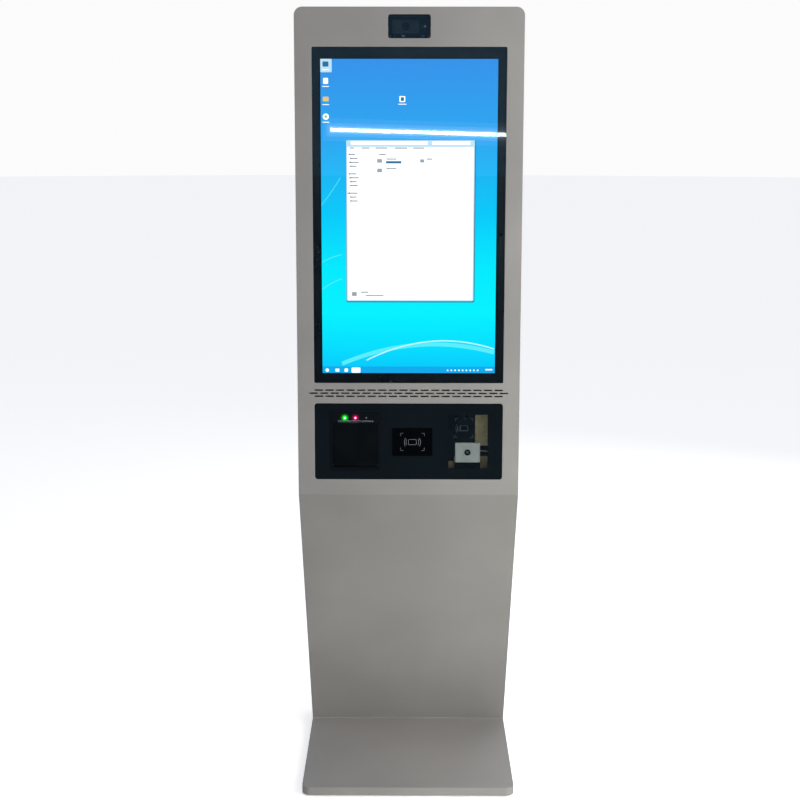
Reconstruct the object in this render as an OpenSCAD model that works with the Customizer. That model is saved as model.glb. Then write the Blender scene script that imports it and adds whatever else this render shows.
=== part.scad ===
// Floor-standing ticket kiosk: a folded sheet-steel cabinet whose head leans over its base on a raked leg.
// Millimetres. +Z up, front towards -Y, origin on the floor in the middle of the base.

/* [Cabinet] */
// Width of the cabinet and of the base
kiosk_w = 502; // [490:1:620]
// Height of the top above the floor
kiosk_h = 1820; // [1800:1:2200]
// Height of the upright head face, from the fold to the top
head_h = 1086; // [1060:1:1300]
// Depth of the head, face to rear panel
head_d = 150; // [142:1:200]
// How far the leg's front runs back between the fold and the base
leg_run = 435; // [300:1:440]
// Level thickness of the leg, front sheet to rear sheet
leg_t = 125; // [110:1:140]
// Thickness of the cabinet's sheet steel
sheet_t = 2; // [1.5:0.5:3]
// Radius of the head's two top corners
head_r = 18; // [10:1:25]
// Outer size of the square frame tube
tube = 20; // [15:1:25]

/* [Base] */
// Depth of the base, front to back
base_d = 570; // [565:1:700]
// Height of the base cover's edge
base_edge = 20; // [18:1:30]
// Radius of the base's corners seen from above
base_r = 22; // [10:1:30]
// How far the base stands in front of the head face
base_nose = 5; // [2:1:8]
// Thickness of the ballast plate in the base
plate_t = 8; // [6:1:10]
// Height of the rubber pads
pad_h = 4; // [3:1:6]
// Radius of the rubber pads
pad_r = 22; // [15:1:30]
// Radius of the four floor anchor holes
anchor_r = 5.5; // [4:0.5:7]
// Distance between the anchor holes, side to side
anchor_dx = 340; // [300:1:350]
// Distance between the anchor holes, front to back
anchor_dy = 60; // [50:1:64]
// Radius of the cable entry in the ballast plate
entry_r = 25; // [15:1:28]

/* [Screen] */
// Visible width of the cover glass
glass_w = 426.6; // [424:0.2:440]
// Visible height of the cover glass
glass_h = 742; // [738:1:760]
// Height of the visible glass's lower edge above the fold
glass_up = 259; // [258:1:262]
// Thickness of the cover glass
glass_t = 4; // [3:0.5:6]
// Width of the lit screen
lit_w = 392.9; // [380:0.1:396]
// Height of the lit screen
lit_h = 698.4; // [680:0.1:704]
// How much lower than the glass's centre the lit screen sits
lit_drop = 1.8; // [0:0.1:3]
// Thickness of the lit panel and of the gasket in front of it
cell_t = 2; // [1:0.5:3]
// Depth of the screen's metal housing
housing_t = 12; // [10:1:12]

/* [Camera] */
// Width of the camera window
cam_win_w = 92.6; // [80:0.1:96]
// Height of the camera window
cam_win_h = 50.6; // [40:0.1:52]
// Depth of the camera window's centre below the top
cam_down = 41.5; // [40:0.5:43]
// Width of the camera
cam_w = 58; // [50:1:60]
// Height of the camera
cam_h = 27.5; // [22:0.5:30]
// Radius of the camera's lens
cam_lens_r = 6; // [4:0.5:8]
// Distance from the window's centre to the infrared lamp
lamp_off = 34; // [33:1:40]

/* [Speakers] */
// Length of one speaker slot
slot_l = 19; // [12:1:20]
// Height of one speaker slot
slot_h = 3; // [2:0.5:3.5]
// Distance between slots along a row
slot_dx = 23.9; // [22:0.1:25]
// Distance between the rows
slot_dz = 7; // [6:0.5:7.5]
// Slots in the middle row; the other two have one less
slot_n = 19; // [13:1:19]
// Height of the middle row above the fold
slot_up = 235.5; // [234:0.5:237]
// Width of a speaker
speaker_w = 100; // [80:1:120]
// Depth of a speaker
speaker_d = 22; // [16:1:30]

/* [Control panel] */
// Visible width of the black control panel
ctrl_w = 426.6; // [420:0.2:440]
// Visible height of the black control panel
ctrl_h = 176; // [174:1:180]
// Height of the visible panel's lower edge above the fold
ctrl_up = 36; // [34:1:37]
// Thickness of the control panel
ctrl_t = 3; // [2:0.5:4]
// Corner radius of the control panel's opening
ctrl_r = 6.5; // [3:0.5:10]
// How far a sheet laps behind the edge of its opening
lap = 6; // [4:1:6]

/* [Printer] */
// Sideways place of the printer's centre
prt_x = -120.5; // [-125:0.5:-115]
// Width of the printer's bezel
prt_w = 110; // [108:1:116]
// Height of the printer's bezel
prt_h = 137; // [135:1:140]
// Height of the bezel's lower edge above the fold
prt_up = 58; // [56:1:60]
// Thickness of the bezel and of the printer door
prt_t = 3; // [2.5:0.5:4]
// Depth of the printer's case
prt_d = 95; // [92:1:110]
// Height of the printer door
prt_door_h = 101.6; // [98:0.1:102]
// Height of the door's lower edge above the bezel's lower edge
prt_door_up = 7; // [6:0.5:8]
// Width of the ticket slot
slot_w = 80.7; // [78:0.1:84]
// Height of the ticket slot's opening between the door and the tear bar
mouth_h = 4.6; // [4.4:0.1:6]
// Outer radius of the paper roll
roll_r = 37; // [28:1:38]
// Length of the paper roll
roll_l = 79.5; // [70:0.5:80]
// Radius of the platen roller
platen_r = 6; // [4:0.5:7]
// Length of the platen roller
platen_l = 82; // [78:1:84]
// Radius of the platen's axle
axle_r = 2; // [1.5:0.1:2.5]
// Radius of the printer door's hinge pin
door_pin_r = 1.2; // [1:0.1:1.4]
// Distance between the printer's lamps
lamp_dx = 24; // [20:0.5:26]
// Radius of the printer's lamps
lamp_r = 2.5; // [2:0.25:3]

/* [Readers] */
// Sideways place of the card reader's centre
card_x = 8.8; // [5:0.2:12]
// Width of the card reader's face
card_w = 91; // [84:1:94]
// Height of the card reader's face
card_h = 65; // [58:1:70]
// Height of the readers' centres above the fold
read_up = 123.5; // [121:0.5:125]
// Sideways place of the scanner window's centre
scan_x = 135.5; // [133:0.5:138]
// Width of the scanner window
scan_w = 88.7; // [84:0.1:90]
// Height of the scanner window
scan_h = 125; // [120:1:128]
// Depth of the scanner tray
scan_d = 62; // [58:1:80]
// Width of the scanner
scanner_w = 55; // [50:1:56]
// Height of the scanner
scanner_h = 44; // [40:1:46]
// Radius of the scanner's lens
scan_lens_r = 7; // [5:0.5:9]

/* [Leg access] */
// Width of the access opening in the leg's rear
access_w = 372; // [300:1:400]
// Length of the access opening along the slope
access_l = 380; // [300:1:480]
// How far the access cover laps over the opening's edge
access_lap = 15; // [12:1:20]

/* [Rear door] */
// Height of the door opening's lower edge above the rear knee
door_up = 73; // [72:1:90]
// Distance from the door opening's top to the top of the head
door_down = 130; // [124:1:160]
// Distance from the door opening to the cabinet's side
door_side = 26; // [25:1:30]
// Gap around the rear door
door_gap = 1; // [0.8:0.1:2]
// Depth of the rear door's folded edge
door_edge = 5.5; // [5:0.5:5.5]
// Radius of a hinge's knuckle
knuckle_r = 4; // [3.5:0.1:4.2]
// Radius of a hinge's pin
hinge_pin_r = 2; // [1.5:0.1:2.4]
// Height of a hinge
hinge_h = 60; // [50:1:80]
// Radius of the lock's barrel
barrel_r = 9; // [8:0.5:10]
// Radius of the lock's plug
plug_r = 6; // [5:0.5:6.5]
// Length of the lock's cam from the plug's axis
cam_l = 24; // [22:1:26]

/* [Fan] */
// Width of the fan
fan_w = 80; // [70:1:80]
// Depth of the fan
fan_d = 25; // [20:1:38]
// Number of blades
blades = 7; // [5:1:9]
// Radius of the fan's hub
hub_r = 17; // [14:1:20]

/* [Electronics] */
// Size of the computer: width, depth, height
pc = [220, 42, 170];
// Size of the power supply: width, depth, height
psu = [160, 38, 98];
// Thickness of the mounting plate
tray_t = 1.5; // [1:0.5:3]
// Width of the power inlet
inlet_w = 62; // [60:1:70]
// Height of the power inlet
inlet_h = 34; // [32:1:40]
// Width of the network socket
net_w = 24; // [22:1:30]
// Radius of the mains cable
cable_r = 4; // [3:0.5:5]

/* [Hidden] */
$fn = 48;
eps = 0.01;
// Clearances: turning shafts, parts that drop into a cut-out, curved faces beside each other
run_gap = 0.06;
fit_gap = 0.3;
// Seam between a raked sheet and what lies against it
seam = 0.05;
// Cabinet levels and places
face_y = -base_d / 2 + base_nose;
rear_y = face_y + head_d;
base_top = pad_h + base_edge;
fold_z = kiosk_h - head_h;
rake = leg_run / (fold_z - base_top);
rake_a = atan(rake);
rake_sec = 1 / cos(rake_a);
knee_z = fold_z - (head_d - leg_t) / rake;
side_x = kiosk_w / 2 - sheet_t;
in_y = face_y + sheet_t;
back_y = rear_y - sheet_t;
post_x = side_x - tube;
post_y = in_y + tube;
joint_z = fold_z + 10;
bar_t = 3;
// Screen
glass_z = fold_z + glass_up + glass_h / 2;
lit_z = glass_z - lit_drop;
glass_back = in_y + glass_t;
cell_back = glass_back + 2 * cell_t;
case_back = cell_back + housing_t;
shell_w = lit_w + 18;
shell_h = lit_h + 18;
bar_y = max(case_back, post_y);
tray_y = bar_y + bar_t;
gear_y = tray_y + tray_t;
bar_zs = [lit_z - shell_h / 2 + 70, lit_z + shell_h / 2 - 70];
// Camera
cam_z = kiosk_h - cam_down;
cam_x = -8;
cam_front = in_y + sheet_t + 1.3;
cam_back = post_y - sheet_t;
// Control panel
ctrl_z = fold_z + ctrl_up + ctrl_h / 2;
ctrl_back = in_y + ctrl_t;
read_z = fold_z + read_up;
slot_z = fold_z + slot_up;
speaker_h = 30;
speaker_x = 110;
cone_r = 12;
// Printer
prt_z = fold_z + prt_up;
prt_front = in_y - prt_t;
prt_cut_w = prt_w - 4;
prt_cut_h = prt_h - 4;
prt_wall = 2;
prt_case_w = prt_cut_w - 2 * fit_gap;
prt_case_h = prt_cut_h - 2 * fit_gap;
prt_case_z = prt_z + (prt_h - prt_case_h) / 2;
prt_in_w = prt_case_w - 2 * prt_wall;
prt_door_w = prt_w - 7;
hinge_z = prt_z + prt_door_up + prt_t;
door_top = prt_z + prt_door_up + prt_door_h;
mouth_top = door_top + mouth_h;
bar_h = 1.2;
lug_w = 1.2;
barrel_half = prt_in_w / 2 - fit_gap;
platen_y = in_y + 10;
platen_z = door_top - platen_r - 3;
head_y = platen_y + platen_r + fit_gap;
ear_t = 3;
ear_x = platen_l / 2 + 2;
roll_y = in_y + 12 + roll_r;
roll_z = prt_case_z + prt_wall + fit_gap + roll_r;
lamp_z = mouth_top + bar_h + 6.5;
// Scanner
win_t = 2;
scan_back = ctrl_back + win_t;
board_y = scan_back + 18;
board_t = 3;
scanner_x = scan_x - scan_w / 2 + 43.5;
scanner_z = read_z - scan_h / 2 + 36;
// Rear door
open_x = kiosk_w / 2 - door_side;
open_lo = knee_z + door_up;
open_hi = kiosk_h - door_down;
stop_w = 12;
stop_y = rear_y - 8;
hinge_x = -open_x;
hinge_y = rear_y + knuckle_r + fit_gap;
leaf_t = 1.5;
leaf_w = 18;
hinge_zs = [open_lo + 90, (open_lo + open_hi) / 2, open_hi - 90];
lock_x = open_x - 30;
lock_z = (open_lo + open_hi) / 2;
cam_t = 2.5;
cam_y = stop_y - 1.5 - cam_t;
// Fan and sockets
fan_z = open_hi + (kiosk_h - open_hi) / 2 - 6;
fan_y = back_y - fan_d;
hole_r = fan_w / 2 - 2;
inlet_x = 70;
net_x = 130;
port_z = knee_z + door_up / 2 - 3;
inlet_d = 26;
mouth_d = 16;
rocker_x = inlet_x - 19;
rocker_y = rear_y - 2;
rocker_tilt = 9;
pc_at = [-40, gear_y, lit_z + 60];
psu_at = [40, gear_y, lit_z - 210];

steel = "#9d9a9a";
black = "#171c1f";

// The head and leg's lines: y of a line set in by d from the front or from the rear, at level z
function front_y(z, d = 0) = z > fold_z ? face_y + d : face_y + (fold_z - z) * rake + d * rake_sec;
function leg_back_y(z, d = 0) = face_y + leg_t + (fold_z - z) * rake - d * rake_sec;
// Level at which a line set in by d turns from upright to raked
function front_turn(d) = fold_z + d * (rake_sec - 1) / rake;
function rear_turn(d) = knee_z - d * (rake_sec - 1) / rake;

leg_in_front = front_y(base_top, sheet_t);
leg_in_back = leg_back_y(base_top, sheet_t);
anchor_y = (leg_in_front + leg_in_back) / 2;
access_z = (base_top + knee_z) / 2;

// Plain shapes -------------------------------------------------------------------------------

// Box from its low corner in x, y, z and its size
module box(at, size) { translate(at) cube(size); }

// Box centred on x and z, from y0 back to y1
module slab(x, z, w, h, y0, y1) { box([x - w / 2, y0, z - h / 2], [w, y1 - y0, h]); }

// Rounded rectangle centred on the origin, made of true arcs
module round_rect(w, h, r) {
  square([w - 2 * r, h], center = true);
  square([w, h - 2 * r], center = true);
  for (sx = [-1, 1], sy = [-1, 1]) translate([sx * (w / 2 - r), sy * (h / 2 - r)]) circle(r);
}

// Upright rounded plate centred on x and z, from y0 back to y1
module round_slab(x, z, w, h, r, y0, y1) {
  translate([x, y1, z]) rotate([90, 0, 0]) linear_extrude(y1 - y0) round_rect(w, h, r);
}

// Cylinder along y, from y0 back to y1
module rod_y(x, z, r, y0, y1) { translate([x, y1, z]) rotate([90, 0, 0]) cylinder(r = r, h = y1 - y0); }

// Cylinder along x, centred on x
module rod_x(x, y, z, r, l) { translate([x - l / 2, y, z]) rotate([0, 90, 0]) cylinder(r = r, h = l); }

// Extrudes a (y, z) outline along x, from x0 to x1
module across(x0, x1) {
  translate([x0, 0, 0]) rotate([90, 0, 90]) linear_extrude(x1 - x0) children();
}

// Side outline set in by d in front and by e behind, between two levels
module side_outline(d, e, z0, z1) {
  polygon([
    [face_y + d, z1], [rear_y - e, z1], [rear_y - e, rear_turn(e)], [leg_back_y(z0, e), z0],
    [front_y(z0, d), z0], [face_y + d, front_turn(d)]
  ]);
}

// Band that follows the leg's front line between two depths and two levels below the fold
module leg_band(d0, d1, z0, z1) {
  polygon([[front_y(z0, d0), z0], [front_y(z0, d1), z0], [front_y(z1, d1), z1], [front_y(z1, d0), z1]]);
}

// Outline of the head seen from the front, above level z0, set in by d, with its round top corners
module head_outline(z0, d = 0) {
  w = kiosk_w - 2 * d;
  top = kiosk_h - d;
  r = head_r - d;
  polygon([
    [-w / 2, z0], [w / 2, z0], [w / 2, top - r], [w / 2 - r, top], [-w / 2 + r, top], [-w / 2, top - r]
  ]);
  for (s = [-1, 1]) translate([s * (w / 2 - r), top - r]) circle(r);
}

// Raises a drawing of the front into an upright sheet from y0 back to y1
module upright(y0, y1) { translate([0, y1, 0]) rotate([90, 0, 0]) linear_extrude(y1 - y0) children(); }

// Places children on the leg's rear face at level z, with +Y outwards and +Z up the slope
module on_leg_back(z) { translate([0, leg_back_y(z), z]) rotate([rake_a, 0, 0]) children(); }

// Cabinet --------------------------------------------------------------------------------------

module speaker_slots() {
  for (row = [-1, 0, 1]) {
    n = row == 0 ? slot_n : slot_n - 1;
    for (i = [0:n - 1]) translate([(i - (n - 1) / 2) * slot_dx, slot_z + row * slot_dz])
      round_rect(slot_l, slot_h, slot_h / 2 - eps);
  }
}

module face_panel() {
  color(steel) upright(face_y, in_y) difference() {
    head_outline(fold_z);
    translate([0, glass_z]) round_rect(glass_w, glass_h, 3);
    translate([0, cam_z]) round_rect(cam_win_w, cam_win_h, 5);
    translate([0, ctrl_z]) round_rect(ctrl_w, ctrl_h, ctrl_r);
    speaker_slots();
  }
}

module leg_front_panel() {
  color("#8b9089") across(-kiosk_w / 2, kiosk_w / 2) leg_band(0, sheet_t, base_top, fold_z);
}

module side_panel() {
  color(steel) across(0, sheet_t) side_outline(sheet_t, sheet_t, base_top, kiosk_h - head_r);
}
module left_side_panel() { translate([-kiosk_w / 2, 0, 0]) side_panel(); }
module right_side_panel() { translate([side_x, 0, 0]) side_panel(); }

module top_cover() {
  low = kiosk_h - head_r;
  color(steel) upright(in_y, back_y) difference() {
    head_outline(low - 2 * head_r);
    head_outline(low - 3 * head_r, sheet_t);
    translate([-kiosk_w, low - 3 * head_r]) square([2 * kiosk_w, 3 * head_r]);
  }
}

// Rear panel of the head: a joggled opening with a stop lip, the fan's grille and two socket holes
module rear_frame() {
  ow = 2 * open_x;
  oh = open_hi - open_lo;
  oz = (open_lo + open_hi) / 2;
  color(steel) {
    upright(back_y, rear_y) difference() {
      head_outline(knee_z);
      translate([0, oz]) square([ow, oh], center = true);
      for (i = [-4:4]) translate([0, fan_z + i * 8])
        square([2 * sqrt(pow(hole_r - 2, 2) - pow(i * 8, 2)), 3.5], center = true);
      translate([inlet_x, port_z]) square([inlet_w - 8 + fit_gap, inlet_h - 4 + fit_gap], center = true);
      translate([net_x, port_z]) square([net_w - 6 + fit_gap, 18 + fit_gap], center = true);
    }
    difference() {
      slab(0, oz, ow + 2 * sheet_t, oh + 2 * sheet_t, stop_y, back_y);
      slab(0, oz, ow, oh, stop_y + sheet_t, rear_y);
      slab(0, oz, ow - 2 * stop_w, oh - 2 * stop_w, stop_y - 1, rear_y);
    }
  }
}

// Rear sheet of the leg, with the access opening and its screw holes
module leg_rear_panel() {
  color("#8b9089") difference() {
    across(-kiosk_w / 2, kiosk_w / 2) polygon([
      [leg_back_y(base_top, sheet_t), base_top], [leg_back_y(base_top), base_top],
      [leg_back_y(knee_z), knee_z], [leg_back_y(knee_z, sheet_t), knee_z]
    ]);
    on_leg_back(access_z) box([-access_w / 2, -sheet_t * 3, -access_l / 2], [access_w, sheet_t * 6, access_l]);
    on_leg_back(access_z) screw_places() rod_y(0, 0, 2.2, -sheet_t * 3, 1);
  }
}

// Six places round the access opening
module screw_places() {
  for (sx = [-1, 1], k = [-1, 0, 1])
    translate([sx * (access_w + access_lap) / 2, 0, k * (access_l / 2 - 20)]) children();
}

module access_cover() {
  color(steel) on_leg_back(access_z) difference() {
    round_slab(0, 0, access_w + 2 * access_lap, access_l + 2 * access_lap, 8, seam, sheet_t + seam);
    screw_places() rod_y(0, 0, 2.2, -1, sheet_t + 1);
  }
}

module cover_screws() {
  seat_y = sheet_t + seam;
  color("#b9b9b9") on_leg_back(access_z) screw_places() difference() {
    union() {
      rod_y(0, 0, 2, -8, seat_y);
      rod_y(0, 0, 4, seat_y, seat_y + 2.2);
    }
    translate([0, seat_y + 2.5, 0]) rotate([90, 0, 0]) cylinder(r = 1.5, h = 1.6, $fn = 6);
  }
}

// Floor plan of the base, set in by d
module base_plan(d) { round_rect(kiosk_w - 2 * d, base_d - 2 * d, base_r - d); }

module base_cover() {
  color(steel) difference() {
    translate([0, 0, pad_h]) linear_extrude(base_edge) base_plan(0);
    translate([0, 0, pad_h - 1]) linear_extrude(base_edge - sheet_t + 1) base_plan(sheet_t);
    box([-side_x, leg_in_front, pad_h], [2 * side_x, leg_in_back - leg_in_front, base_edge + 1]);
  }
}

module base_plate() {
  rib_h = base_edge - plate_t - sheet_t;
  color("#3c4043") difference() {
    union() {
      translate([0, 0, pad_h]) linear_extrude(plate_t) base_plan(sheet_t + fit_gap);
      for (y = [-0.38, -0.12, 0.14] * base_d)
        box([-kiosk_w / 2 + 30, y - 5, pad_h + plate_t], [kiosk_w - 60, 10, rib_h]);
    }
    for (sx = [-1, 1], sy = [-1, 1])
      translate([sx * anchor_dx / 2, anchor_y + sy * anchor_dy / 2, pad_h - 1]) cylinder(r = anchor_r, h = plate_t + 2);
    translate([0, anchor_y, pad_h - 1]) cylinder(r = entry_r, h = plate_t + 2);
  }
}

module foot_pads() {
  color("#1c1c1c") for (sx = [-1, 1], sy = [-1, 0, 1])
    translate([sx * (kiosk_w / 2 - 45), sy * (base_d / 2 - 45), 0]) cylinder(r = pad_r, h = pad_h);
}

// Square tube, upright, from its low corner
module upright_tube(at, l) {
  difference() {
    box(at, [tube, tube, l]);
    box(at + [sheet_t, sheet_t, -1], [tube - 2 * sheet_t, tube - 2 * sheet_t, l + 2]);
  }
}

// Welded frame of the head: two posts and two cross tubes behind them
module head_frame() {
  top = kiosk_h - sheet_t - head_r;
  color("#4a4e50") {
    for (x = [-side_x, post_x]) upright_tube([x, in_y, joint_z], top - joint_z);
    for (z = [joint_z, top - tube]) difference() {
      box([-side_x, post_y, z], [2 * side_x, tube, tube]);
      box([-side_x - 1, post_y + sheet_t, z + sheet_t], [2 * side_x + 2, tube - 2 * sheet_t, tube - 2 * sheet_t]);
    }
  }
}

// Raked frame of the leg: two cranked tubes welded to the ballast plate, and two cross bars
module leg_frame() {
  foot_z = pad_h + plate_t;
  color("#4a4e50") {
    for (x = [-side_x, post_x]) difference() {
      across(x, x + tube) leg_post_outline(sheet_t + seam, sheet_t + tube, foot_z, joint_z);
      across(x + sheet_t, x + tube - sheet_t)
        leg_post_outline(2 * sheet_t, tube, foot_z - 1, joint_z + 1);
    }
    for (z = [foot_z, fold_z - 180])
      across(-post_x - eps, post_x + eps) leg_band(sheet_t + seam, sheet_t + bar_t, z, z + 40);
  }
}

module leg_post_outline(d0, d1, z0, z1) {
  polygon([
    [front_y(z0, d0), z0], [front_y(z0, d1), z0], [face_y + d1, front_turn(d1)], [face_y + d1, z1],
    [face_y + d0, z1], [face_y + d0, front_turn(d0)]
  ]);
}

// Screen ---------------------------------------------------------------------------------------

module cover_glass() {
  color("#0f1418") round_slab(0, glass_z, glass_w + 2 * lap, glass_h + 2 * lap, 4, in_y, glass_back);
}

module screen_gasket() {
  color("#222222") difference() {
    slab(0, lit_z, shell_w, shell_h, glass_back, glass_back + cell_t);
    slab(0, lit_z, lit_w - 4, lit_h - 4, glass_back - 1, glass_back + cell_t + 1);
  }
}

module screen_panel() {
  color("#2aa7e8") slab(0, lit_z, lit_w, lit_h, glass_back + cell_t, cell_back);
}

module screen_housing() {
  color("#8f9396") difference() {
    slab(0, lit_z, shell_w, shell_h, glass_back + cell_t, case_back);
    slab(0, lit_z, lit_w + fit_gap, lit_h + fit_gap, glass_back, cell_back);
  }
}

// Two flat bars that hold the screen to the posts, packed out to whichever of the two stands further forward
module screen_bars() {
  color("#70757a") for (z = bar_zs) {
    slab(0, z, 2 * side_x, 40, bar_y, tray_y);
    if (bar_y > case_back) slab(0, z, shell_w, 40, case_back, bar_y);
    if (bar_y > post_y) for (s = [-1, 1]) slab(s * (side_x - tube / 2), z, tube, 40, post_y, bar_y);
  }
}

// Camera ---------------------------------------------------------------------------------------

module camera_window() {
  color("#10161a") round_slab(0, cam_z, cam_win_w + 2 * lap, cam_win_h + 2 * lap, 6, in_y, in_y + sheet_t);
}

module camera_bracket() {
  color("#3a3f44") {
    slab(0, cam_z, cam_win_w - 4, cam_h + 8, cam_back, post_y);
    box([-cam_w / 2, cam_back, cam_z], [cam_w, sheet_t, kiosk_h - sheet_t - head_r - cam_z]);
  }
}

module camera_body() {
  color("#20262b") difference() {
    round_slab(cam_x, cam_z, cam_w, cam_h, 3, cam_front, cam_back);
    rod_y(cam_x, cam_z, cam_lens_r + run_gap, cam_front - 1, cam_front + 4);
  }
}

module camera_lens() {
  color("#0a0d12") {
    rod_y(cam_x, cam_z, cam_lens_r, cam_front + 0.5, cam_front + 4);
    rod_y(cam_x, cam_z, cam_lens_r * 0.6, cam_front - 0.4, cam_front + 0.5);
  }
}

module infrared_lamp() {
  color("#303050") {
    rod_y(lamp_off, cam_z, 2.5, cam_front, cam_back);
    rod_y(lamp_off, cam_z, 3, cam_back - 4, cam_back);
  }
}

// Speakers -------------------------------------------------------------------------------------

module speakers() {
  seat = in_y + 9;
  color("#1d1f21") for (s = [-1, 1]) {
    difference() {
      slab(s * speaker_x, slot_z, speaker_w, speaker_h, in_y, in_y + speaker_d);
      for (k = [-1, 1]) rod_y(s * speaker_x + k * speaker_w / 4, slot_z, cone_r + fit_gap, in_y - 1, seat);
    }
    for (k = [-1, 1]) translate([s * speaker_x + k * speaker_w / 4, seat, slot_z]) rotate([90, 0, 0])
      difference() {
        cylinder(r1 = cone_r - 5, r2 = cone_r, h = 6);
        translate([0, 0, 2]) cylinder(r1 = 4, r2 = cone_r - 1, h = 4 + eps);
      }
  }
}

// Control panel --------------------------------------------------------------------------------

module control_panel() {
  color(black) difference() {
    round_slab(0, ctrl_z, ctrl_w + 2 * lap, ctrl_h + 2 * lap, ctrl_r, in_y, ctrl_back);
    slab(prt_x, prt_z + prt_h / 2, prt_cut_w, prt_cut_h, in_y - 1, ctrl_back + 1);
    slab(card_x, read_z, card_w - 6, card_h - 6, in_y - 1, ctrl_back + 1);
    round_slab(scan_x, read_z, scan_w, scan_h, 2, in_y - 1, ctrl_back + 1);
  }
}

// Printer --------------------------------------------------------------------------------------

module printer_bezel() {
  mid = prt_z + prt_h / 2;
  low = prt_z + prt_door_up - 0.5;
  color("#14181a") difference() {
    round_slab(prt_x, mid, prt_w, prt_h, 3, prt_front, in_y);
    box([prt_x - prt_door_w / 2 - 0.5, prt_front - 1, low], [prt_door_w + 1, prt_t + 2, door_top + 1 - low]);
    box([prt_x - slot_w / 2, prt_front - 1, door_top], [slot_w, prt_t + 2, mouth_h + bar_h]);
    for (k = [-1, 0, 1]) rod_y(prt_x + k * lamp_dx, lamp_z, lamp_r + run_gap, prt_front - 1, in_y + 1);
  }
}

// Case behind the bezel: open in front, relieved where the door shuts over its edges, with two hinge lugs
module printer_case() {
  mid = prt_case_z + prt_case_h / 2;
  end = in_y + prt_d;
  low = prt_z + prt_door_up - 1;
  color("#2a2e31") difference() {
    union() {
      difference() {
        slab(prt_x, mid, prt_case_w, prt_case_h, in_y, end);
        slab(prt_x, mid, prt_in_w, prt_case_h - 2 * prt_wall, in_y - 1, end - prt_wall);
        box([prt_x - prt_w / 2, in_y - 1, low], [prt_w, 1.5, door_top + 0.8 - low]);
      }
      for (s = [-1, 1]) slab(prt_x + s * (prt_in_w / 2 + lug_w / 2), hinge_z, lug_w, 7, in_y - 2, in_y + 4);
    }
    rod_x(prt_x, in_y, hinge_z, door_pin_r + run_gap, prt_w);
  }
}

// Door: a plate whose lower edge is the hinge barrel, with two ears that carry the platen
module printer_door() {
  low = hinge_z + prt_t + 2;
  color("#101416") difference() {
    union() {
      box([prt_x - prt_door_w / 2, prt_front, low], [prt_door_w, prt_t, door_top - low]);
      box([prt_x - barrel_half, prt_front, hinge_z], [2 * barrel_half, prt_t, low - hinge_z + 1]);
      rod_x(prt_x, in_y, hinge_z, prt_t, 2 * barrel_half);
      for (s = [-1, 1]) across(prt_x + s * ear_x - ear_t / 2, prt_x + s * ear_x + ear_t / 2) polygon([
        [in_y - eps, platen_z - 14], [platen_y, platen_z - 4], [platen_y + 4, platen_z - 4],
        [platen_y + 4, platen_z + 4], [in_y - eps, platen_z + 4]
      ]);
    }
    rod_x(prt_x, in_y, hinge_z, door_pin_r + run_gap, prt_w);
    rod_x(prt_x, platen_y, platen_z, axle_r + run_gap, 2 * ear_x + 2 * ear_t);
  }
}

module printer_door_pin() {
  color("#b5b8bb") rod_x(prt_x, in_y, hinge_z, door_pin_r, prt_in_w + 2 * lug_w - 0.2);
}

module platen_roller() {
  color("#26282a") {
    rod_x(prt_x, platen_y, platen_z, platen_r, platen_l);
    rod_x(prt_x, platen_y, platen_z, axle_r, 2 * ear_x + ear_t);
  }
}

module print_head() {
  color("#9fa3a6") {
    slab(prt_x, platen_z, platen_l, 12, head_y, head_y + 4);
    slab(prt_x, platen_z + 1, prt_in_w, 14, head_y + 4, head_y + 12);
  }
}

// Toothed strip along the top of the ticket slot
module tear_bar() {
  n = floor(slot_w / 4);
  color("#c9ccce") translate([prt_x, 0, mouth_top]) {
    box([-slot_w / 2, prt_front + 1.2, 0], [slot_w, 8, bar_h]);
    for (i = [0:n - 1]) translate([(i - (n - 1) / 2) * 4, prt_front + 1.2 + eps, 0])
      linear_extrude(bar_h) polygon([[-1.9, 0], [1.9, 0], [0, -1]]);
  }
}

module paper_roll() {
  color("#f2f1ec") difference() {
    rod_x(prt_x, roll_y, roll_z, roll_r, roll_l);
    rod_x(prt_x, roll_y, roll_z, 6, roll_l + 2);
  }
}

module printer_lamp(k, c) {
  color(c) {
    rod_y(prt_x + k * lamp_dx, lamp_z, lamp_r, prt_front - 0.6, in_y + 6);
    rod_y(prt_x + k * lamp_dx, lamp_z, lamp_r + 0.6, in_y, in_y + 1.2);
  }
}
module power_lamp() { printer_lamp(-1, "#30e040"); }
module fault_lamp() { printer_lamp(0, "#f03040"); }
module paper_lamp() { printer_lamp(1, "#3a3f44"); }

// Readers --------------------------------------------------------------------------------------

module card_reader_case() {
  color("#202427") slab(card_x, read_z, card_w - 7, card_h - 7, in_y, in_y + 18);
}

module card_reader_cover() {
  color("#0a0d10") round_slab(card_x, read_z, card_w, card_h, 1.5, in_y - 2, in_y);
}

module scanner_window() {
  color("#9fb4b8", 0.4) slab(scan_x, read_z, scan_w + 2 * lap, scan_h + 2 * lap, ctrl_back, scan_back);
}

module scanner_tray() {
  color("#16191b") difference() {
    slab(scan_x, read_z, scan_w + 2 * lap, scan_h + 2 * lap, scan_back, scan_back + scan_d);
    slab(scan_x, read_z, scan_w + lap, scan_h + lap, scan_back - 1, scan_back + scan_d - 2);
  }
}

// Fibreboard that carries the reader and the scanner inside the tray
module scanner_board() {
  color("#b3a27c") slab(scan_x, read_z, scan_w + lap, scan_h + lap, board_y, board_y + board_t);
}

module id_reader() {
  color("#14171a") difference() {
    box([scan_x - scan_w / 2 - 2, scan_back + 3, scanner_z - scanner_h / 2 + 12],
        [62, board_y - scan_back - 3, scan_h - 24]);
    slab(scanner_x, scanner_z, scanner_w + 2 * fit_gap, scanner_h + 2 * fit_gap, scan_back, board_y + 1);
  }
}

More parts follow.
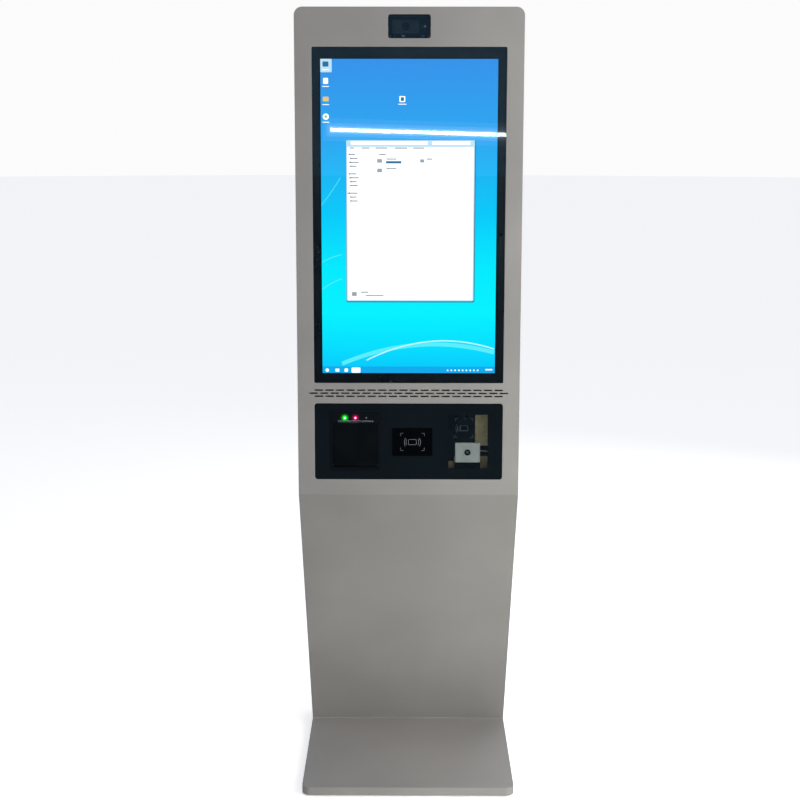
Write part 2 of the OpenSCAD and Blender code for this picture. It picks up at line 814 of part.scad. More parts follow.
module scanner_body() {
  color("#b9bcba") difference() {
    round_slab(scanner_x, scanner_z, scanner_w, scanner_h, 2, scan_back + 2, board_y);
    rod_y(scanner_x, scanner_z, scan_lens_r + run_gap, scan_back + 1, scan_back + 10);
  }
}

module scanner_lens() {
  color("#0b0d0f") difference() {
    rod_y(scanner_x, scanner_z, scan_lens_r, scan_back + 3, scan_back + 10);
    rod_y(scanner_x, scanner_z, scan_lens_r - 3, scan_back + 2, scan_back + 6);
  }
}

// Rear door ------------------------------------------------------------------------------------

module rear_door() {
  w = 2 * (open_x - door_gap);
  h = open_hi - open_lo - 2 * door_gap;
  mid = (open_lo + open_hi) / 2;
  color(steel) difference() {
    slab(0, mid, w, h, rear_y - door_edge, rear_y);
    slab(0, mid, w - 2 * sheet_t, h - 2 * sheet_t, rear_y - door_edge - 1, back_y);
    for (s = [-1, 1], i = [0:11], k = [-1, 1])
      slab(s * 75, mid + k * (h / 2 - 150) + (i - 5.5) * 10, 110, 3.5, back_y - 1, rear_y + 1);
    rod_y(lock_x, lock_z, barrel_r + run_gap, back_y - 1, rear_y + 1);
  }
}

// One hinge half: its knuckles between two levels and the plate that joins them, s = -1 frame, 1 door
module leaf(s, z, spans) {
  difference() {
    union() {
      box([hinge_x + (s > 0 ? knuckle_r + 1 : -knuckle_r - 1 - leaf_w), rear_y, z - hinge_h / 2],
          [leaf_w, leaf_t, hinge_h]);
      for (p = spans) {
        translate([hinge_x, hinge_y, z + p[0]]) cylinder(r = knuckle_r, h = p[1] - p[0]);
        box([s > 0 ? hinge_x : hinge_x - knuckle_r - 1 - eps, rear_y + fit_gap, z + p[0]],
            [knuckle_r + 1 + eps, leaf_t - fit_gap, p[1] - p[0]]);
      }
    }
    translate([hinge_x, hinge_y, z - hinge_h]) cylinder(r = hinge_pin_r + run_gap, h = 2 * hinge_h);
  }
}

third = hinge_h / 6;
module hinge_leaves() {
  color("#7d8184") for (z = hinge_zs)
    leaf(-1, z, [[-hinge_h / 2, -third - 0.3], [third + 0.3, hinge_h / 2]]);
}
module hinge_straps() { color("#7d8184") for (z = hinge_zs) leaf(1, z, [[-third, third]]); }
module hinge_pins() {
  color("#c2c4c6") for (z = hinge_zs) translate([hinge_x, hinge_y, z - hinge_h / 2]) {
    cylinder(r = hinge_pin_r, h = hinge_h);
    translate([0, 0, hinge_h]) cylinder(r = hinge_pin_r + 1, h = 1.5);
  }
}

module lock_barrel() {
  color("#c2c4c6") difference() {
    union() {
      rod_y(lock_x, lock_z, barrel_r, cam_y + cam_t + 0.5, rear_y);
      rod_y(lock_x, lock_z, barrel_r + 2.5, rear_y, rear_y + 2);
      rod_y(lock_x, lock_z, barrel_r + 3, back_y - 3, back_y);
    }
    rod_y(lock_x, lock_z, plug_r + run_gap, cam_y - 1, rear_y + 3);
  }
}

// Key plug and cam, turned as one; the cam hangs down when the lock is open
module lock_plug() {
  color("#a8abae") difference() {
    union() {
      rod_y(lock_x, lock_z, plug_r, cam_y, rear_y + 1.5);
      slab(lock_x, lock_z - cam_l / 2, 10, cam_l, cam_y, cam_y + cam_t);
      rod_y(lock_x, lock_z - cam_l + 5, 5, cam_y, cam_y + cam_t);
    }
    slab(lock_x, lock_z, 1.6, 7, rear_y - 8, rear_y + 2);
  }
}

// Electronics ----------------------------------------------------------------------------------

module mounting_plate() {
  h = bar_zs[1] - bar_zs[0] + 40;
  color("#8d9194") difference() {
    slab(0, (bar_zs[0] + bar_zs[1]) / 2, lit_w, h, tray_y, gear_y);
    for (s = [-1, 1]) slab(s * lit_w * 0.42, lit_z, 24, 80, tray_y - 1, gear_y + 1);
  }
}

module computer() {
  n = 14;
  color("#2c3033") translate([pc_at[0] - pc[0] / 2, pc_at[1], pc_at[2] - pc[2] / 2]) difference() {
    cube(pc);
    for (i = [0:n - 1]) box([12 + i * (pc[0] - 28) / (n - 1), pc[1] - 6, 12], [4, 7, pc[2] - 24]);
  }
}

module power_supply() {
  color("#a4a8aa") translate([psu_at[0] - psu[0] / 2, psu_at[1], psu_at[2] - psu[2] / 2]) difference() {
    cube(psu);
    for (i = [0:8]) box([20 + i * 12, psu[1] - 1.5, 12], [4, 2.5, psu[2] - 40]);
    box([-1, psu[1] - 12, psu[2] - 14], [psu[0] + 2, 13, 15]);
  }
}

module fan_frame() {
  color("#1b1d1f") {
    difference() {
      slab(0, fan_z, fan_w, fan_w, fan_y, back_y);
      rod_y(0, fan_z, hole_r, fan_y - 1, back_y + 1);
      for (sx = [-1, 1], sz = [-1, 1])
        rod_y(sx * (fan_w / 2 - 4), fan_z + sz * (fan_w / 2 - 4), 2.2, fan_y - 1, back_y + 1);
    }
    rod_y(0, fan_z, hub_r, fan_y, fan_y + 3);
    rod_y(0, fan_z, axle_r, fan_y, back_y - 4);
    for (i = [0:2]) translate([0, fan_y, fan_z]) rotate([0, i * 120 + 90, 0])
      box([0, 0, -2], [hole_r + 0.5, 3, 4]);
  }
}

// Hub and pitched blades, running on the frame's stub axle
module fan_rotor() {
  y0 = fan_y + 4;
  y1 = back_y - 3;
  color("#24272a") difference() {
    union() {
      rod_y(0, fan_z, hub_r, y0, y1);
      for (i = [0:blades - 1]) translate([0, (y0 + y1) / 2, fan_z]) rotate([0, i * 360 / blades, 0])
        translate([hub_r - 2, 0, 0]) rotate([35, 0, 0])
          box([0, -0.8, -9], [hole_r - hub_r - 0.2, 1.6, 18]);
    }
    rod_y(0, fan_z, axle_r + run_gap, y0 - 1, y1 - 0.5);
  }
}

// Mains inlet with a three-pin socket on the left and a well for the rocker on the right
module power_inlet() {
  color("#141618") difference() {
    union() {
      slab(inlet_x, port_z, inlet_w, inlet_h, rear_y, rear_y + 2.5);
      slab(inlet_x, port_z, inlet_w - 8, inlet_h - 4, rear_y - inlet_d, rear_y);
    }
    slab(inlet_x + 10, port_z, 26, 18, rear_y + 2.5 - mouth_d, rear_y + 3);
    slab(rocker_x, port_z, 13, 22, rear_y - 12, rear_y + 3);
  }
  color("#141618") rod_x(rocker_x, rocker_y, port_z, 1 - run_gap, 13 + 2 * eps);
  color("#b8babc") for (p = [[-7, -2], [7, -2], [0, 3]])
    slab(inlet_x + 10 + p[0], port_z + p[1], 2, 4, rear_y + 2.5 - mouth_d - eps, rear_y + 2.5 - mouth_d + 10);
}

// Rocker: tilts on the inlet's cross pivot, drawn with its upper end pressed in
module rocker_switch() {
  color("#a3161a") difference() {
    translate([rocker_x, rocker_y, port_z]) rotate([90, 0, 90]) rotate([0, 0, rocker_tilt])
      translate([0, 0, -6]) linear_extrude(12)
        polygon([[-4, -6], [-4, 6], [2.5, 9.6], [5, 9.8], [3, 0], [5, -9.8], [2.5, -9.6]]);
    rod_x(rocker_x, rocker_y, port_z, 1, 20);
  }
}

module network_socket() {
  color("#8b8f92") difference() {
    union() {
      slab(net_x, port_z, net_w, 24, rear_y, rear_y + 2);
      slab(net_x, port_z, net_w - 6, 18, rear_y - 18, rear_y);
    }
    slab(net_x, port_z, 12, 8.5, rear_y - 10, rear_y + 3);
  }
}

// Cuts the corners of a route, keeping its two ends
function eased(p) = [
  p[0], for (i = [0:len(p) - 2]) each [0.75 * p[i] + 0.25 * p[i + 1], 0.25 * p[i] + 0.75 * p[i + 1]],
  p[len(p) - 1]
];
function unit(v) = v / norm(v);

// Round cable of radius r swept along the route p as one closed skin; n is across no stretch of it
module cable(p, r, n) {
  q = eased(eased(p));
  m = len(q);
  sides = 8;
  points = [for (i = [0:m - 1]) let (
    t = unit(q[min(i + 1, m - 1)] - q[max(i - 1, 0)]), u = unit(cross(t, n)), v = cross(t, u)
  ) for (k = [0:sides - 1]) q[i] + r * (cos(k * 360 / sides) * u + sin(k * 360 / sides) * v)];
  faces = [
    [for (k = [0:sides - 1]) k],
    for (i = [0:m - 2], k = [0:sides - 1])
      [i * sides + k, (i + 1) * sides + k, (i + 1) * sides + (k + 1) % sides, i * sides + (k + 1) % sides],
    [for (k = [sides - 1:-1:0]) (m - 1) * sides + k]
  ];
  polyhedron(points, faces);
}

// Leads inside the cabinet: mains, computer supply, printer and screen
module wiring() {
  psu_lo = psu_at[2] - psu[2] / 2;
  psu_hi = psu_at[2] + psu[2] / 2;
  pc_lo = pc_at[2] - pc[2] / 2;
  mid_y = gear_y + psu[1] / 2;
  aisle_y = scan_back + scan_d + 28;
  prt_end = in_y + prt_d;
  prt_up_y = prt_end + 14;
  plug_z = lit_z + 18;
  color("#1a1a1a") {
    cable([[inlet_x, rear_y - inlet_d, port_z], [inlet_x, aisle_y, port_z], [inlet_x, aisle_y, slot_z],
           [psu_at[0], mid_y, slot_z + 60], [psu_at[0], mid_y, psu_lo]], cable_r, [1, 0, 0]);
    cable([[psu_at[0] - 20, mid_y, psu_hi], [psu_at[0] - 20, mid_y, pc_lo]], cable_r, [1, 0, 0]);
    cable([[prt_x, prt_end, prt_case_z + 60], [prt_x, prt_up_y, prt_case_z + 60], [prt_x, prt_up_y, slot_z],
           [pc_at[0] - pc[0] / 4, mid_y, slot_z + 60], [pc_at[0] - pc[0] / 4, mid_y, pc_lo]], cable_r, [1, 0, 0]);
    cable([[pc_at[0] - pc[0] / 2, mid_y, plug_z], [-lit_w * 0.42, mid_y, plug_z],
           [-lit_w * 0.42, case_back, plug_z]], cable_r - 1, [0, 0, 1]);
  }
}

face_panel();
leg_front_panel();
left_side_panel();
right_side_panel();
top_cover();
rear_frame();
leg_rear_panel();
access_cover();
cover_screws();
base_cover();
base_plate();
foot_pads();
head_frame();
leg_frame();
cover_glass();
screen_gasket();
screen_panel();
screen_housing();
screen_bars();
camera_window();
camera_bracket();
camera_body();
camera_lens();
infrared_lamp();
speakers();
control_panel();
printer_bezel();
printer_case();
printer_door();
printer_door_pin();
platen_roller();
print_head();
tear_bar();
paper_roll();
power_lamp();
fault_lamp();
paper_lamp();
card_reader_case();
card_reader_cover();
scanner_window();
scanner_tray();
scanner_board();
id_reader();
scanner_body();
scanner_lens();
rear_door();
hinge_leaves();
hinge_straps();
hinge_pins();
lock_barrel();
lock_plug();
mounting_plate();
computer();
power_supply();
fan_frame();
fan_rotor();
power_inlet();
rocker_switch();
network_socket();
wiring();
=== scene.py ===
"""A floor-standing ticket kiosk: folded and powder-coated steel round a tall touch screen, with a ticket
printer, a card reader and a document scanner in a black panel. Metres, +Z up, the screen faces -Y."""
import math

import bmesh
import bpy
import numpy as np
from mathutils import Matrix, Vector


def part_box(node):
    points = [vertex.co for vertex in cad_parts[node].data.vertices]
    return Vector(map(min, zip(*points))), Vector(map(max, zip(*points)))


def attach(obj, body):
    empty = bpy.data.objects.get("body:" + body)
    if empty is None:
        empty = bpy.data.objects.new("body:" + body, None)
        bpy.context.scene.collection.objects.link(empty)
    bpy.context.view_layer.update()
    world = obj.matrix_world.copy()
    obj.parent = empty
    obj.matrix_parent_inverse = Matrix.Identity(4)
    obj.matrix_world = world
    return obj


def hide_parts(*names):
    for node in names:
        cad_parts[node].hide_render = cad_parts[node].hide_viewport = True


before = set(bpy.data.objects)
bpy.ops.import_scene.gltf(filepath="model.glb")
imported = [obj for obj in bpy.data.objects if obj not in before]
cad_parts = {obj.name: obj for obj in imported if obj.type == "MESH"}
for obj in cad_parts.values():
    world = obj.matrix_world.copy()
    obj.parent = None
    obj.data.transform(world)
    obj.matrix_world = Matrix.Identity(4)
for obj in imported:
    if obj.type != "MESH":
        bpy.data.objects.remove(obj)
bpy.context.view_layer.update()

# Camera ---------------------------------------------------------------------------------------
# A long lens at eye height, 3.5 m in front of the screen and pitched down, so that the lit screen
# and the top of the base both show.
scene = bpy.context.scene
scene.view_settings.view_transform = "Standard"
camera = bpy.data.objects.new("camera", bpy.data.cameras.new("camera"))
scene.collection.objects.link(camera)
scene.camera = camera
camera.data.lens = 70.92
aim = Matrix.Rotation(0.005, 4, "Z") @ Matrix.Rotation(-0.178, 4, "X") @ Matrix.Rotation(-0.001, 4, "Y")
level = Matrix.Rotation(math.pi / 2, 4, "X")
camera.matrix_world = Matrix.Translation((-0.0019, -3.79, 1.5857)) @ aim @ level


# Studio ---------------------------------------------------------------------------------------
# A pale floor under an even white sky, a large soft light from the right and two faint fills. Glossy
# rays see a darker room, as black glass does in a studio hung with dark cloth behind the camera.
def add(tree, kind, links=None, **settings):
    """Adds a node. links maps an input's name or number to a value or to another node's output."""
    made = tree.nodes.new(kind)
    for key, value in settings.items():
        setattr(made, key, value)
    for place, value in (links or {}).items():
        if isinstance(value, bpy.types.NodeSocket):
            tree.links.new(value, made.inputs[place])
        else:
            made.inputs[place].default_value = value
    return made


def srgb(code):
    """Linear colour of an sRGB hex code: below 0.04 a straight line, above it a power of 2.4."""
    parts = np.array([int(code[i:i + 2], 16) for i in (1, 3, 5)]) / 255
    linear = np.where(parts <= 0.04045, parts / 12.92, ((parts + 0.055) / 1.055) ** 2.4)
    return (*linear.tolist(), 1.0)


def mirrored_ray(tree):
    """Light path node, and the node that says 1 for a ray that a mirror or a pane sends on, else 0: the
    larger of glossy and transmission, less the diffuse depth. Light that comes back out of a pane is a
    transmission ray, so it counts too, unless it is on its way to something dull behind the pane."""
    ray = add(tree, "ShaderNodeLightPath")
    sent_on = add(tree, "ShaderNodeMath",
                  {0: ray.outputs["Is Glossy Ray"], 1: ray.outputs["Is Transmission Ray"]},
                  operation="MAXIMUM")
    return ray, add(tree, "ShaderNodeMath", {0: sent_on.outputs[0], 1: ray.outputs["Diffuse Depth"]},
                    operation="SUBTRACT", use_clamp=True)


sky = bpy.data.worlds.new("studio_sky")
scene.world = sky
sky.use_nodes = True
sky.node_tree.nodes.clear()
ray, mirror_ray = mirrored_ray(sky.node_tree)
even = add(sky.node_tree, "ShaderNodeBackground", {"Color": srgb("#fbfaff"), "Strength": 0.42})
room = add(sky.node_tree, "ShaderNodeBackground", {"Color": srgb("#6a96b8"), "Strength": 0.95})
white = add(sky.node_tree, "ShaderNodeBackground", {"Color": srgb("#ffffff"), "Strength": 0.97})
lit_or_dim = add(sky.node_tree, "ShaderNodeMixShader",
                 {0: mirror_ray.outputs[0], 1: even.outputs[0], 2: room.outputs[0]})
seen = add(sky.node_tree, "ShaderNodeMixShader",
           {0: ray.outputs["Is Camera Ray"], 1: lit_or_dim.outputs[0], 2: white.outputs[0]})
add(sky.node_tree, "ShaderNodeOutputWorld", {"Surface": seen.outputs[0]})


def softbox(name, at, target, size, watts, colour, mirrored=True):
    """Rectangular light at a place, its -Z towards the target. Mirrored lights show in gloss."""
    lamp = bpy.data.lights.new(name, "AREA")
    lamp.shape = "RECTANGLE"
    lamp.size, lamp.size_y = size
    lamp.energy = watts
    lamp.color = srgb(colour)[:3]
    made = bpy.data.objects.new(name, lamp)
    scene.collection.objects.link(made)
    way = Vector(target) - Vector(at)
    made.matrix_world = Matrix.Translation(at) @ way.to_track_quat("-Z", "Y").to_matrix().to_4x4()
    made.visible_camera = False
    made.visible_glossy = made.visible_transmission = mirrored
    return made


softbox("key_right", (1.5, -1.3, 1.5), (0.1, -0.2, 1.0), (0.9, 1.8), 34, "#fffdf4")
softbox("fill_left", (-2.6, -1.6, 1.9), (0, 0, 1.0), (1.4, 1.8), 8, "#f3e9ff")
softbox("low_right", (1.1, -1.1, 0.35), (0, 0.05, 0.3), (0.7, 0.5), 5, "#f0ffe6", False)
softbox("rear_fill", (1.5, 2.8, 2.2), (0, 0.1, 0.9), (1.6, 2.0), 26, "#fbfaff")
# A narrow beam on the foot and the base alone, which the other lights reach least
foot_beam = softbox("foot_beam", (0.5, -2.2, 1.0), (0.03, 0.1, 0.06), (0.4, 0.3), 0.4, "#fff8f4", False)
foot_beam.data.spread = math.radians(26)
# The ceiling tube whose streak lies across the glass, with a wider and fainter lamp for its glow
tube_lamps = [("ceiling_tube", 1.27, 0.02, 2.6), ("tube_glow_near", 1.29, 0.042, 0.3),
              ("tube_glow", 1.32, 0.075, 0.22), ("tube_glow_far", 1.36, 0.13, 0.16)]
tube_x, tube_z = 0.185, 1.4926
for behind_tube, (lamp_name, wide, tall, watts) in enumerate(tube_lamps):
    tube_at = (tube_x, -6.0 - 0.01 * behind_tube, tube_z)
    tube_lamp = softbox(lamp_name, tube_at, (tube_x, 0, tube_z), (wide, tall), watts, "#eef9ff")
    tube_lamp.matrix_world = tube_lamp.matrix_world @ Matrix.Rotation(math.radians(-1.6), 4, "Z")


# Floor ----------------------------------------------------------------------------------------
# A flat painted studio floor 80 m across, so wide that its edge melts into the sky. It belongs to the
# studio and not to the kiosk.
def grid_faces(rows, columns, wrap_columns=False):
    """Corner numbers of every quad on a grid; wrap joins its last column to its first."""
    i = np.arange(rows - 1)[:, None] * columns
    j = np.arange(columns if wrap_columns else columns - 1)[None, :]
    j2 = (j + 1) % columns
    return np.stack([i + j, i + j2, i + columns + j2, i + columns + j], -1).reshape(-1, 4)


def piece(name, points, faces, material, smooth=40, closed=True):
    """Object from points and faces, with edges sharper than smooth degrees kept sharp."""
    mesh = bpy.data.meshes.new(name)
    mesh.from_pydata(np.asarray(points, float).reshape(-1, 3).tolist(), [],
                     [list(map(int, f)) for f in faces])
    return finished(name, mesh, material, smooth, closed)


def finished(name, mesh, material, smooth=40, closed=True):
    """Object from a mesh: doubles merged, a closed skin's normals turned out, smooth up to an angle."""
    work = bmesh.new()
    work.from_mesh(mesh)
    bmesh.ops.remove_doubles(work, verts=work.verts, dist=1e-6)
    if closed:
        bmesh.ops.recalc_face_normals(work, faces=work.faces)
    work.to_mesh(mesh)
    work.free()
    mesh.shade_smooth()
    mesh.set_sharp_from_angle(angle=math.radians(smooth))
    mesh.materials.clear()
    mesh.materials.append(material)
    made = bpy.data.objects.new(name, mesh)
    scene.collection.objects.link(made)
    return made


def shader(name, colour, roughness, **sockets):
    """New material with one principled shader. Returns the material, its node tree and the shader."""
    material = bpy.data.materials.new(name)
    material.use_nodes = True
    tree = material.node_tree
    tree.nodes.clear()
    main = add(tree, "ShaderNodeBsdfPrincipled", {"Base Color": srgb(colour), "Roughness": roughness})
    for key, value in sockets.items():
        main.inputs[key.replace("_", " ")].default_value = value
    add(tree, "ShaderNodeOutputMaterial", {"Surface": main.outputs[0]})
    return material, tree, main


# Matt floor paint: near white and even, and dark where a gloss surface mirrors it
floor_white, tree, main = shader("studio_floor_paint", "#f4f4f4", 0.75)
ray, mirror_ray = mirrored_ray(tree)
pale = add(tree, "ShaderNodeMix", {"Factor": mirror_ray.outputs[0]}, data_type="RGBA")
pale.inputs[6].default_value = srgb("#f6f6f6")
pale.inputs[7].default_value = srgb("#3a4f5c")
tree.links.new(pale.outputs[2], main.inputs["Base Color"])
# A little light of its own for the camera alone lifts the paint to near white
lift = add(tree, "ShaderNodeMath", {0: ray.outputs["Is Camera Ray"], 1: 0.54}, operation="MULTIPLY")
main.inputs["Emission Color"].default_value = srgb("#ffffff")
tree.links.new(lift.outputs[0], main.inputs["Emission Strength"])
around = np.linspace(0, 2 * math.pi, 96, endpoint=False)
rings = np.array([0.001, 1.0, 3.0, 9.0, 40.0])[:, None]
disc = np.stack([rings * np.cos(around), rings * np.sin(around), 0 * rings * around], -1)
floor = piece("floor", disc, grid_faces(5, 96, wrap_columns=True), floor_white)
if floor.data.polygons[0].normal.z < 0:
    floor.data.flip_normals()

# Front sheet ----------------------------------------------------------------------------------
# One 2 mm steel sheet is the screen's face and the front of the leg. It is laser cut flat, folded once
# on a press brake, welded to the sides and powder coated.
mm = 0.001
face_lo, face_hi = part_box("face_panel")
leg_lo, leg_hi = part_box("leg_front_panel")
sheet = 2 * mm
cut_edge = 0.95 * mm
fold_z = face_lo.z
# The box of the leg's sheet ends at its inner face, so its thickness measured level is taken off. That is the
# sheet over the cosine of the slope.
level_thickness = sheet * 1.1728
slope = math.atan2(leg_hi.y - face_lo.y - level_thickness, fold_z - leg_lo.z)


def corner_arc(cx, cz, w, h, r, steps=7):
    """Rounded rectangle: each corner is a quarter circle of radius r about a point r in from both sides."""
    turn = np.linspace(0, math.pi / 2, steps)[None, :] + np.arange(4)[:, None] * math.pi / 2
    mid = np.array([[1, 1], [-1, 1], [-1, -1], [1, -1]]) * np.array([w / 2 - r, h / 2 - r])
    points = mid[:, None, :] + r * np.stack([np.cos(turn), np.sin(turn)], -1)
    return points.reshape(-1, 2) + np.array([cx, cz])


def flat_sheet(name, outlines, thick, edge, resolution=2):
    """Mesh of a flat sheet in x and z, y running from 0 back to thick. The first outline is its rim, the
    others are holes, and a small round of radius edge runs along every cut."""
    curve = bpy.data.curves.new(name, "CURVE")
    curve.dimensions = "2D"
    curve.fill_mode = "BOTH"
    curve.extrude = thick / 2 - edge
    curve.bevel_depth = edge
    curve.bevel_resolution = resolution
    curve.offset = -edge
    for outline in outlines:
        spline = curve.splines.new("POLY")
        spline.points.add(len(outline) - 1)
        spline.points.foreach_set("co", np.pad(outline, ((0, 0), (0, 2)), constant_values=(0, 0)).ravel())
        spline.use_cyclic_u = True
    holder = bpy.data.objects.new(name, curve)
    scene.collection.objects.link(holder)
    bpy.context.view_layer.update()
    mesh = bpy.data.meshes.new_from_object(holder.evaluated_get(bpy.context.evaluated_depsgraph_get()))
    bpy.data.objects.remove(holder)
    bpy.data.curves.remove(curve)
    at = np.zeros(len(mesh.vertices) * 3)
    mesh.vertices.foreach_get("co", at)
    at = at.reshape(-1, 3)
    mesh.vertices.foreach_set("co", np.stack([at[:, 0], thick / 2 - at[:, 2], at[:, 1]], -1).ravel())
    return mesh


def finish(name, dark, light, roughness, grain_mm, depth_mm, patch_mm=60, stretch=(1, 1, 1), **sockets):
    """Material whose colour runs from dark to light with a broad noise of patch_mm, which also swings its
    roughness by an eighth each way. A fine noise of grain_mm, drawn out by stretch, raises bumps."""
    material, tree, main = shader(name, light, roughness, **sockets)
    place = add(tree, "ShaderNodeTexCoord").outputs["Object"]
    patch = add(tree, "ShaderNodeTexNoise",
                {"Vector": place, "Scale": 1000 / patch_mm, "Detail": 3.0}).outputs[0]
    ramp = add(tree, "ShaderNodeValToRGB", {"Fac": patch})
    ramp.color_ramp.elements[0].position = 0.32
    ramp.color_ramp.elements[1].position = 0.68
    ramp.color_ramp.elements[0].color = srgb(dark)
    ramp.color_ramp.elements[1].color = srgb(light)
    swing = add(tree, "ShaderNodeMapRange",
                {"Value": patch, "From Min": 0.3, "From Max": 0.7, "To Min": roughness * 0.875,
                 "To Max": roughness * 1.125})
    drawn_out = add(tree, "ShaderNodeMapping", {"Vector": place, "Scale": tuple(1 / s for s in stretch)})
    fine = add(tree, "ShaderNodeTexNoise",
               {"Vector": drawn_out.outputs[0], "Scale": 1000 / grain_mm, "Detail": 2.0}).outputs[0]
    bump = add(tree, "ShaderNodeBump", {"Height": fine, "Strength": 1.0, "Distance": depth_mm / 1000})
    tree.links.new(ramp.outputs[0], main.inputs["Base Color"])
    tree.links.new(swing.outputs[0], main.inputs["Roughness"])
    tree.links.new(bump.outputs[0], main.inputs["Normal"])
    return material


def settle(made, body, slot, *replaced):
    """Puts a new piece on its body and in place of the CAD nodes it stands for. The slot is not used."""
    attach(made, body)
    if replaced:
        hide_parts(*replaced)
    return made


# Sprayed and baked powder coat: a warm grey satin with a faint orange peel and no metal showing
steel = finish("powder_coated_steel", "#8b8988", "#939190", 0.46, 2.0, 0.035, patch_mm=240,
               Specular_IOR_Level=0.35)

top_r = 18 * mm
half_w, top = face_hi.x, face_hi.z
glass_lo, glass_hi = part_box("cover_glass")
window_lo, window_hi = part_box("camera_window")
panel_lo, panel_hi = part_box("control_panel")
lap = 6 * mm
fold_r = 3 * mm
fold_set = fold_r * math.tan(slope / 2)
leg_run = (fold_z - leg_lo.z) / math.cos(slope)
foot_s = fold_set - fold_r * slope - (leg_run - fold_set)


def behind(lo, hi, r):
    """Opening in the sheet over a pane that laps behind its edge all round."""
    return corner_arc((lo.x + hi.x) / 2, (lo.z + hi.z) / 2 - fold_z, hi.x - lo.x - 2 * lap,
                      hi.z - lo.z - 2 * lap, r)


shoulder = np.linspace(0, math.pi / 2, 9)
right_top = np.stack([half_w - top_r + top_r * np.cos(shoulder),
                      top - fold_z - top_r + top_r * np.sin(shoulder)], -1)
rim = np.concatenate([[[half_w, foot_s]], right_top, right_top[::-1] * [-1, 1], [[-half_w, foot_s]]])
slot_l, slot_h, slot_dx, slot_dz, slot_up = 19 * mm, 3 * mm, 23.9 * mm, 7 * mm, 235.5 * mm
slots = [
    corner_arc((i - (n - 1) / 2) * slot_dx, slot_up + row * slot_dz, slot_l, slot_h, slot_h / 2 - 1e-5, 5)
    for row, n in ((-1, 18), (0, 19), (1, 18)) for i in range(n)
]
pattern = [rim, behind(glass_lo, glass_hi, 3 * mm), behind(window_lo, window_hi, 5 * mm),
           behind(panel_lo, panel_hi, 6.5 * mm)] + slots
front_mesh = flat_sheet("front_sheet", pattern, sheet, cut_edge)
work = bmesh.new()
work.from_mesh(front_mesh)
for s in np.linspace(fold_set - fold_r * slope, fold_set, 6):
    bmesh.ops.bisect_plane(work, geom=work.verts[:] + work.edges[:] + work.faces[:],
                           plane_co=(0, 0, s), plane_no=(0, 0, 1), dist=1e-7)
work.to_mesh(front_mesh)
work.free()


def folded(flat):
    """Bends flat points (x, depth, s): straight above the fold, an arc of fold_r, then down the slope."""
    x, depth, s = flat.T
    turn = np.clip((fold_set - s) / fold_r, 0, slope)
    past = np.maximum(fold_set - fold_r * slope - s, 0)
    above = np.maximum(s - fold_set, 0)
    reach = fold_r - depth
    y = face_lo.y + fold_r - reach * np.cos(turn) + past * math.sin(slope)
    z = fold_z + fold_set - reach * np.sin(turn) - past * math.cos(slope) + above
    return np.stack([x, y, z], -1)


flat = np.zeros(len(front_mesh.vertices) * 3)
front_mesh.vertices.foreach_get("co", flat)
front_mesh.vertices.foreach_set("co", folded(flat.reshape(-1, 3)).ravel())
front_sheet = settle(finished("front_sheet", front_mesh, steel), "cabinet", "painted_steel", "face_panel",
                     "leg_front_panel")
front_sheet.modifiers.new("even_normals", "WEIGHTED_NORMAL").keep_sharp = True

# Other cabinet sheets -------------------------------------------------------------------------
# The same steel and coat: the sides, the top, the rear, the base cover and the two service covers, with
# their cut and folded edges eased by the coat.
def dress(material, *names):
    """Gives CAD nodes a material."""
    for name in names:
        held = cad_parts[name].data.materials
        held.clear()
        held.append(material)


def soften(names, width_mm):
    """Rounds the sharp edges of CAD nodes: their triangles are welded, then bevelled by width_mm."""
    for name in names:
        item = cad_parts[name]
        weld = item.modifiers.new("weld", "WELD")
        weld.merge_threshold = 1e-5
        bevel = item.modifiers.new("bevel", "BEVEL")
        bevel.width = width_mm / 1000
        bevel.segments = 2
        bevel.limit_method = "ANGLE"
        bevel.angle_limit = math.radians(35)
        bevel.harden_normals = True


dress(steel, "left_side_panel", "right_side_panel", "top_cover", "rear_frame", "leg_rear_panel",
      "access_cover", "base_cover", "rear_door")
soften(["base_cover"], 1.8)
soften(["access_cover"], 0.6)
# The base cover's corner welds behind the leg: each is a band of the same sheet round a quarter circle
base_lo, base_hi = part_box("base_cover")
corner_r = 22 * mm
weld_turn = np.linspace(0, math.pi / 2, 17)
band_r = corner_r - np.array([0.06, 0.06, 2.0, 2.0]) * mm
band_z = np.array([base_lo.z + 0.3 * mm, base_hi.z - 0.3 * mm, base_hi.z - 0.3 * mm, base_lo.z + 0.3 * mm])
band = np.stack([base_hi.x - corner_r + band_r * np.cos(weld_turn)[:, None],
                 base_hi.y - corner_r + band_r * np.sin(weld_turn)[:, None],
                 np.broadcast_to(band_z, (17, 4))], -1)
band_faces = grid_faces(17, 4, wrap_columns=True).tolist() + [[0, 1, 2, 3], [64, 65, 66, 67]]
for side, side_name in ((1, "right"), (-1, "left")):
    settle(piece("base_corner_" + side_name, band * [side, 1, 1], band_faces, steel, 50), "cabinet",
           "painted_steel")

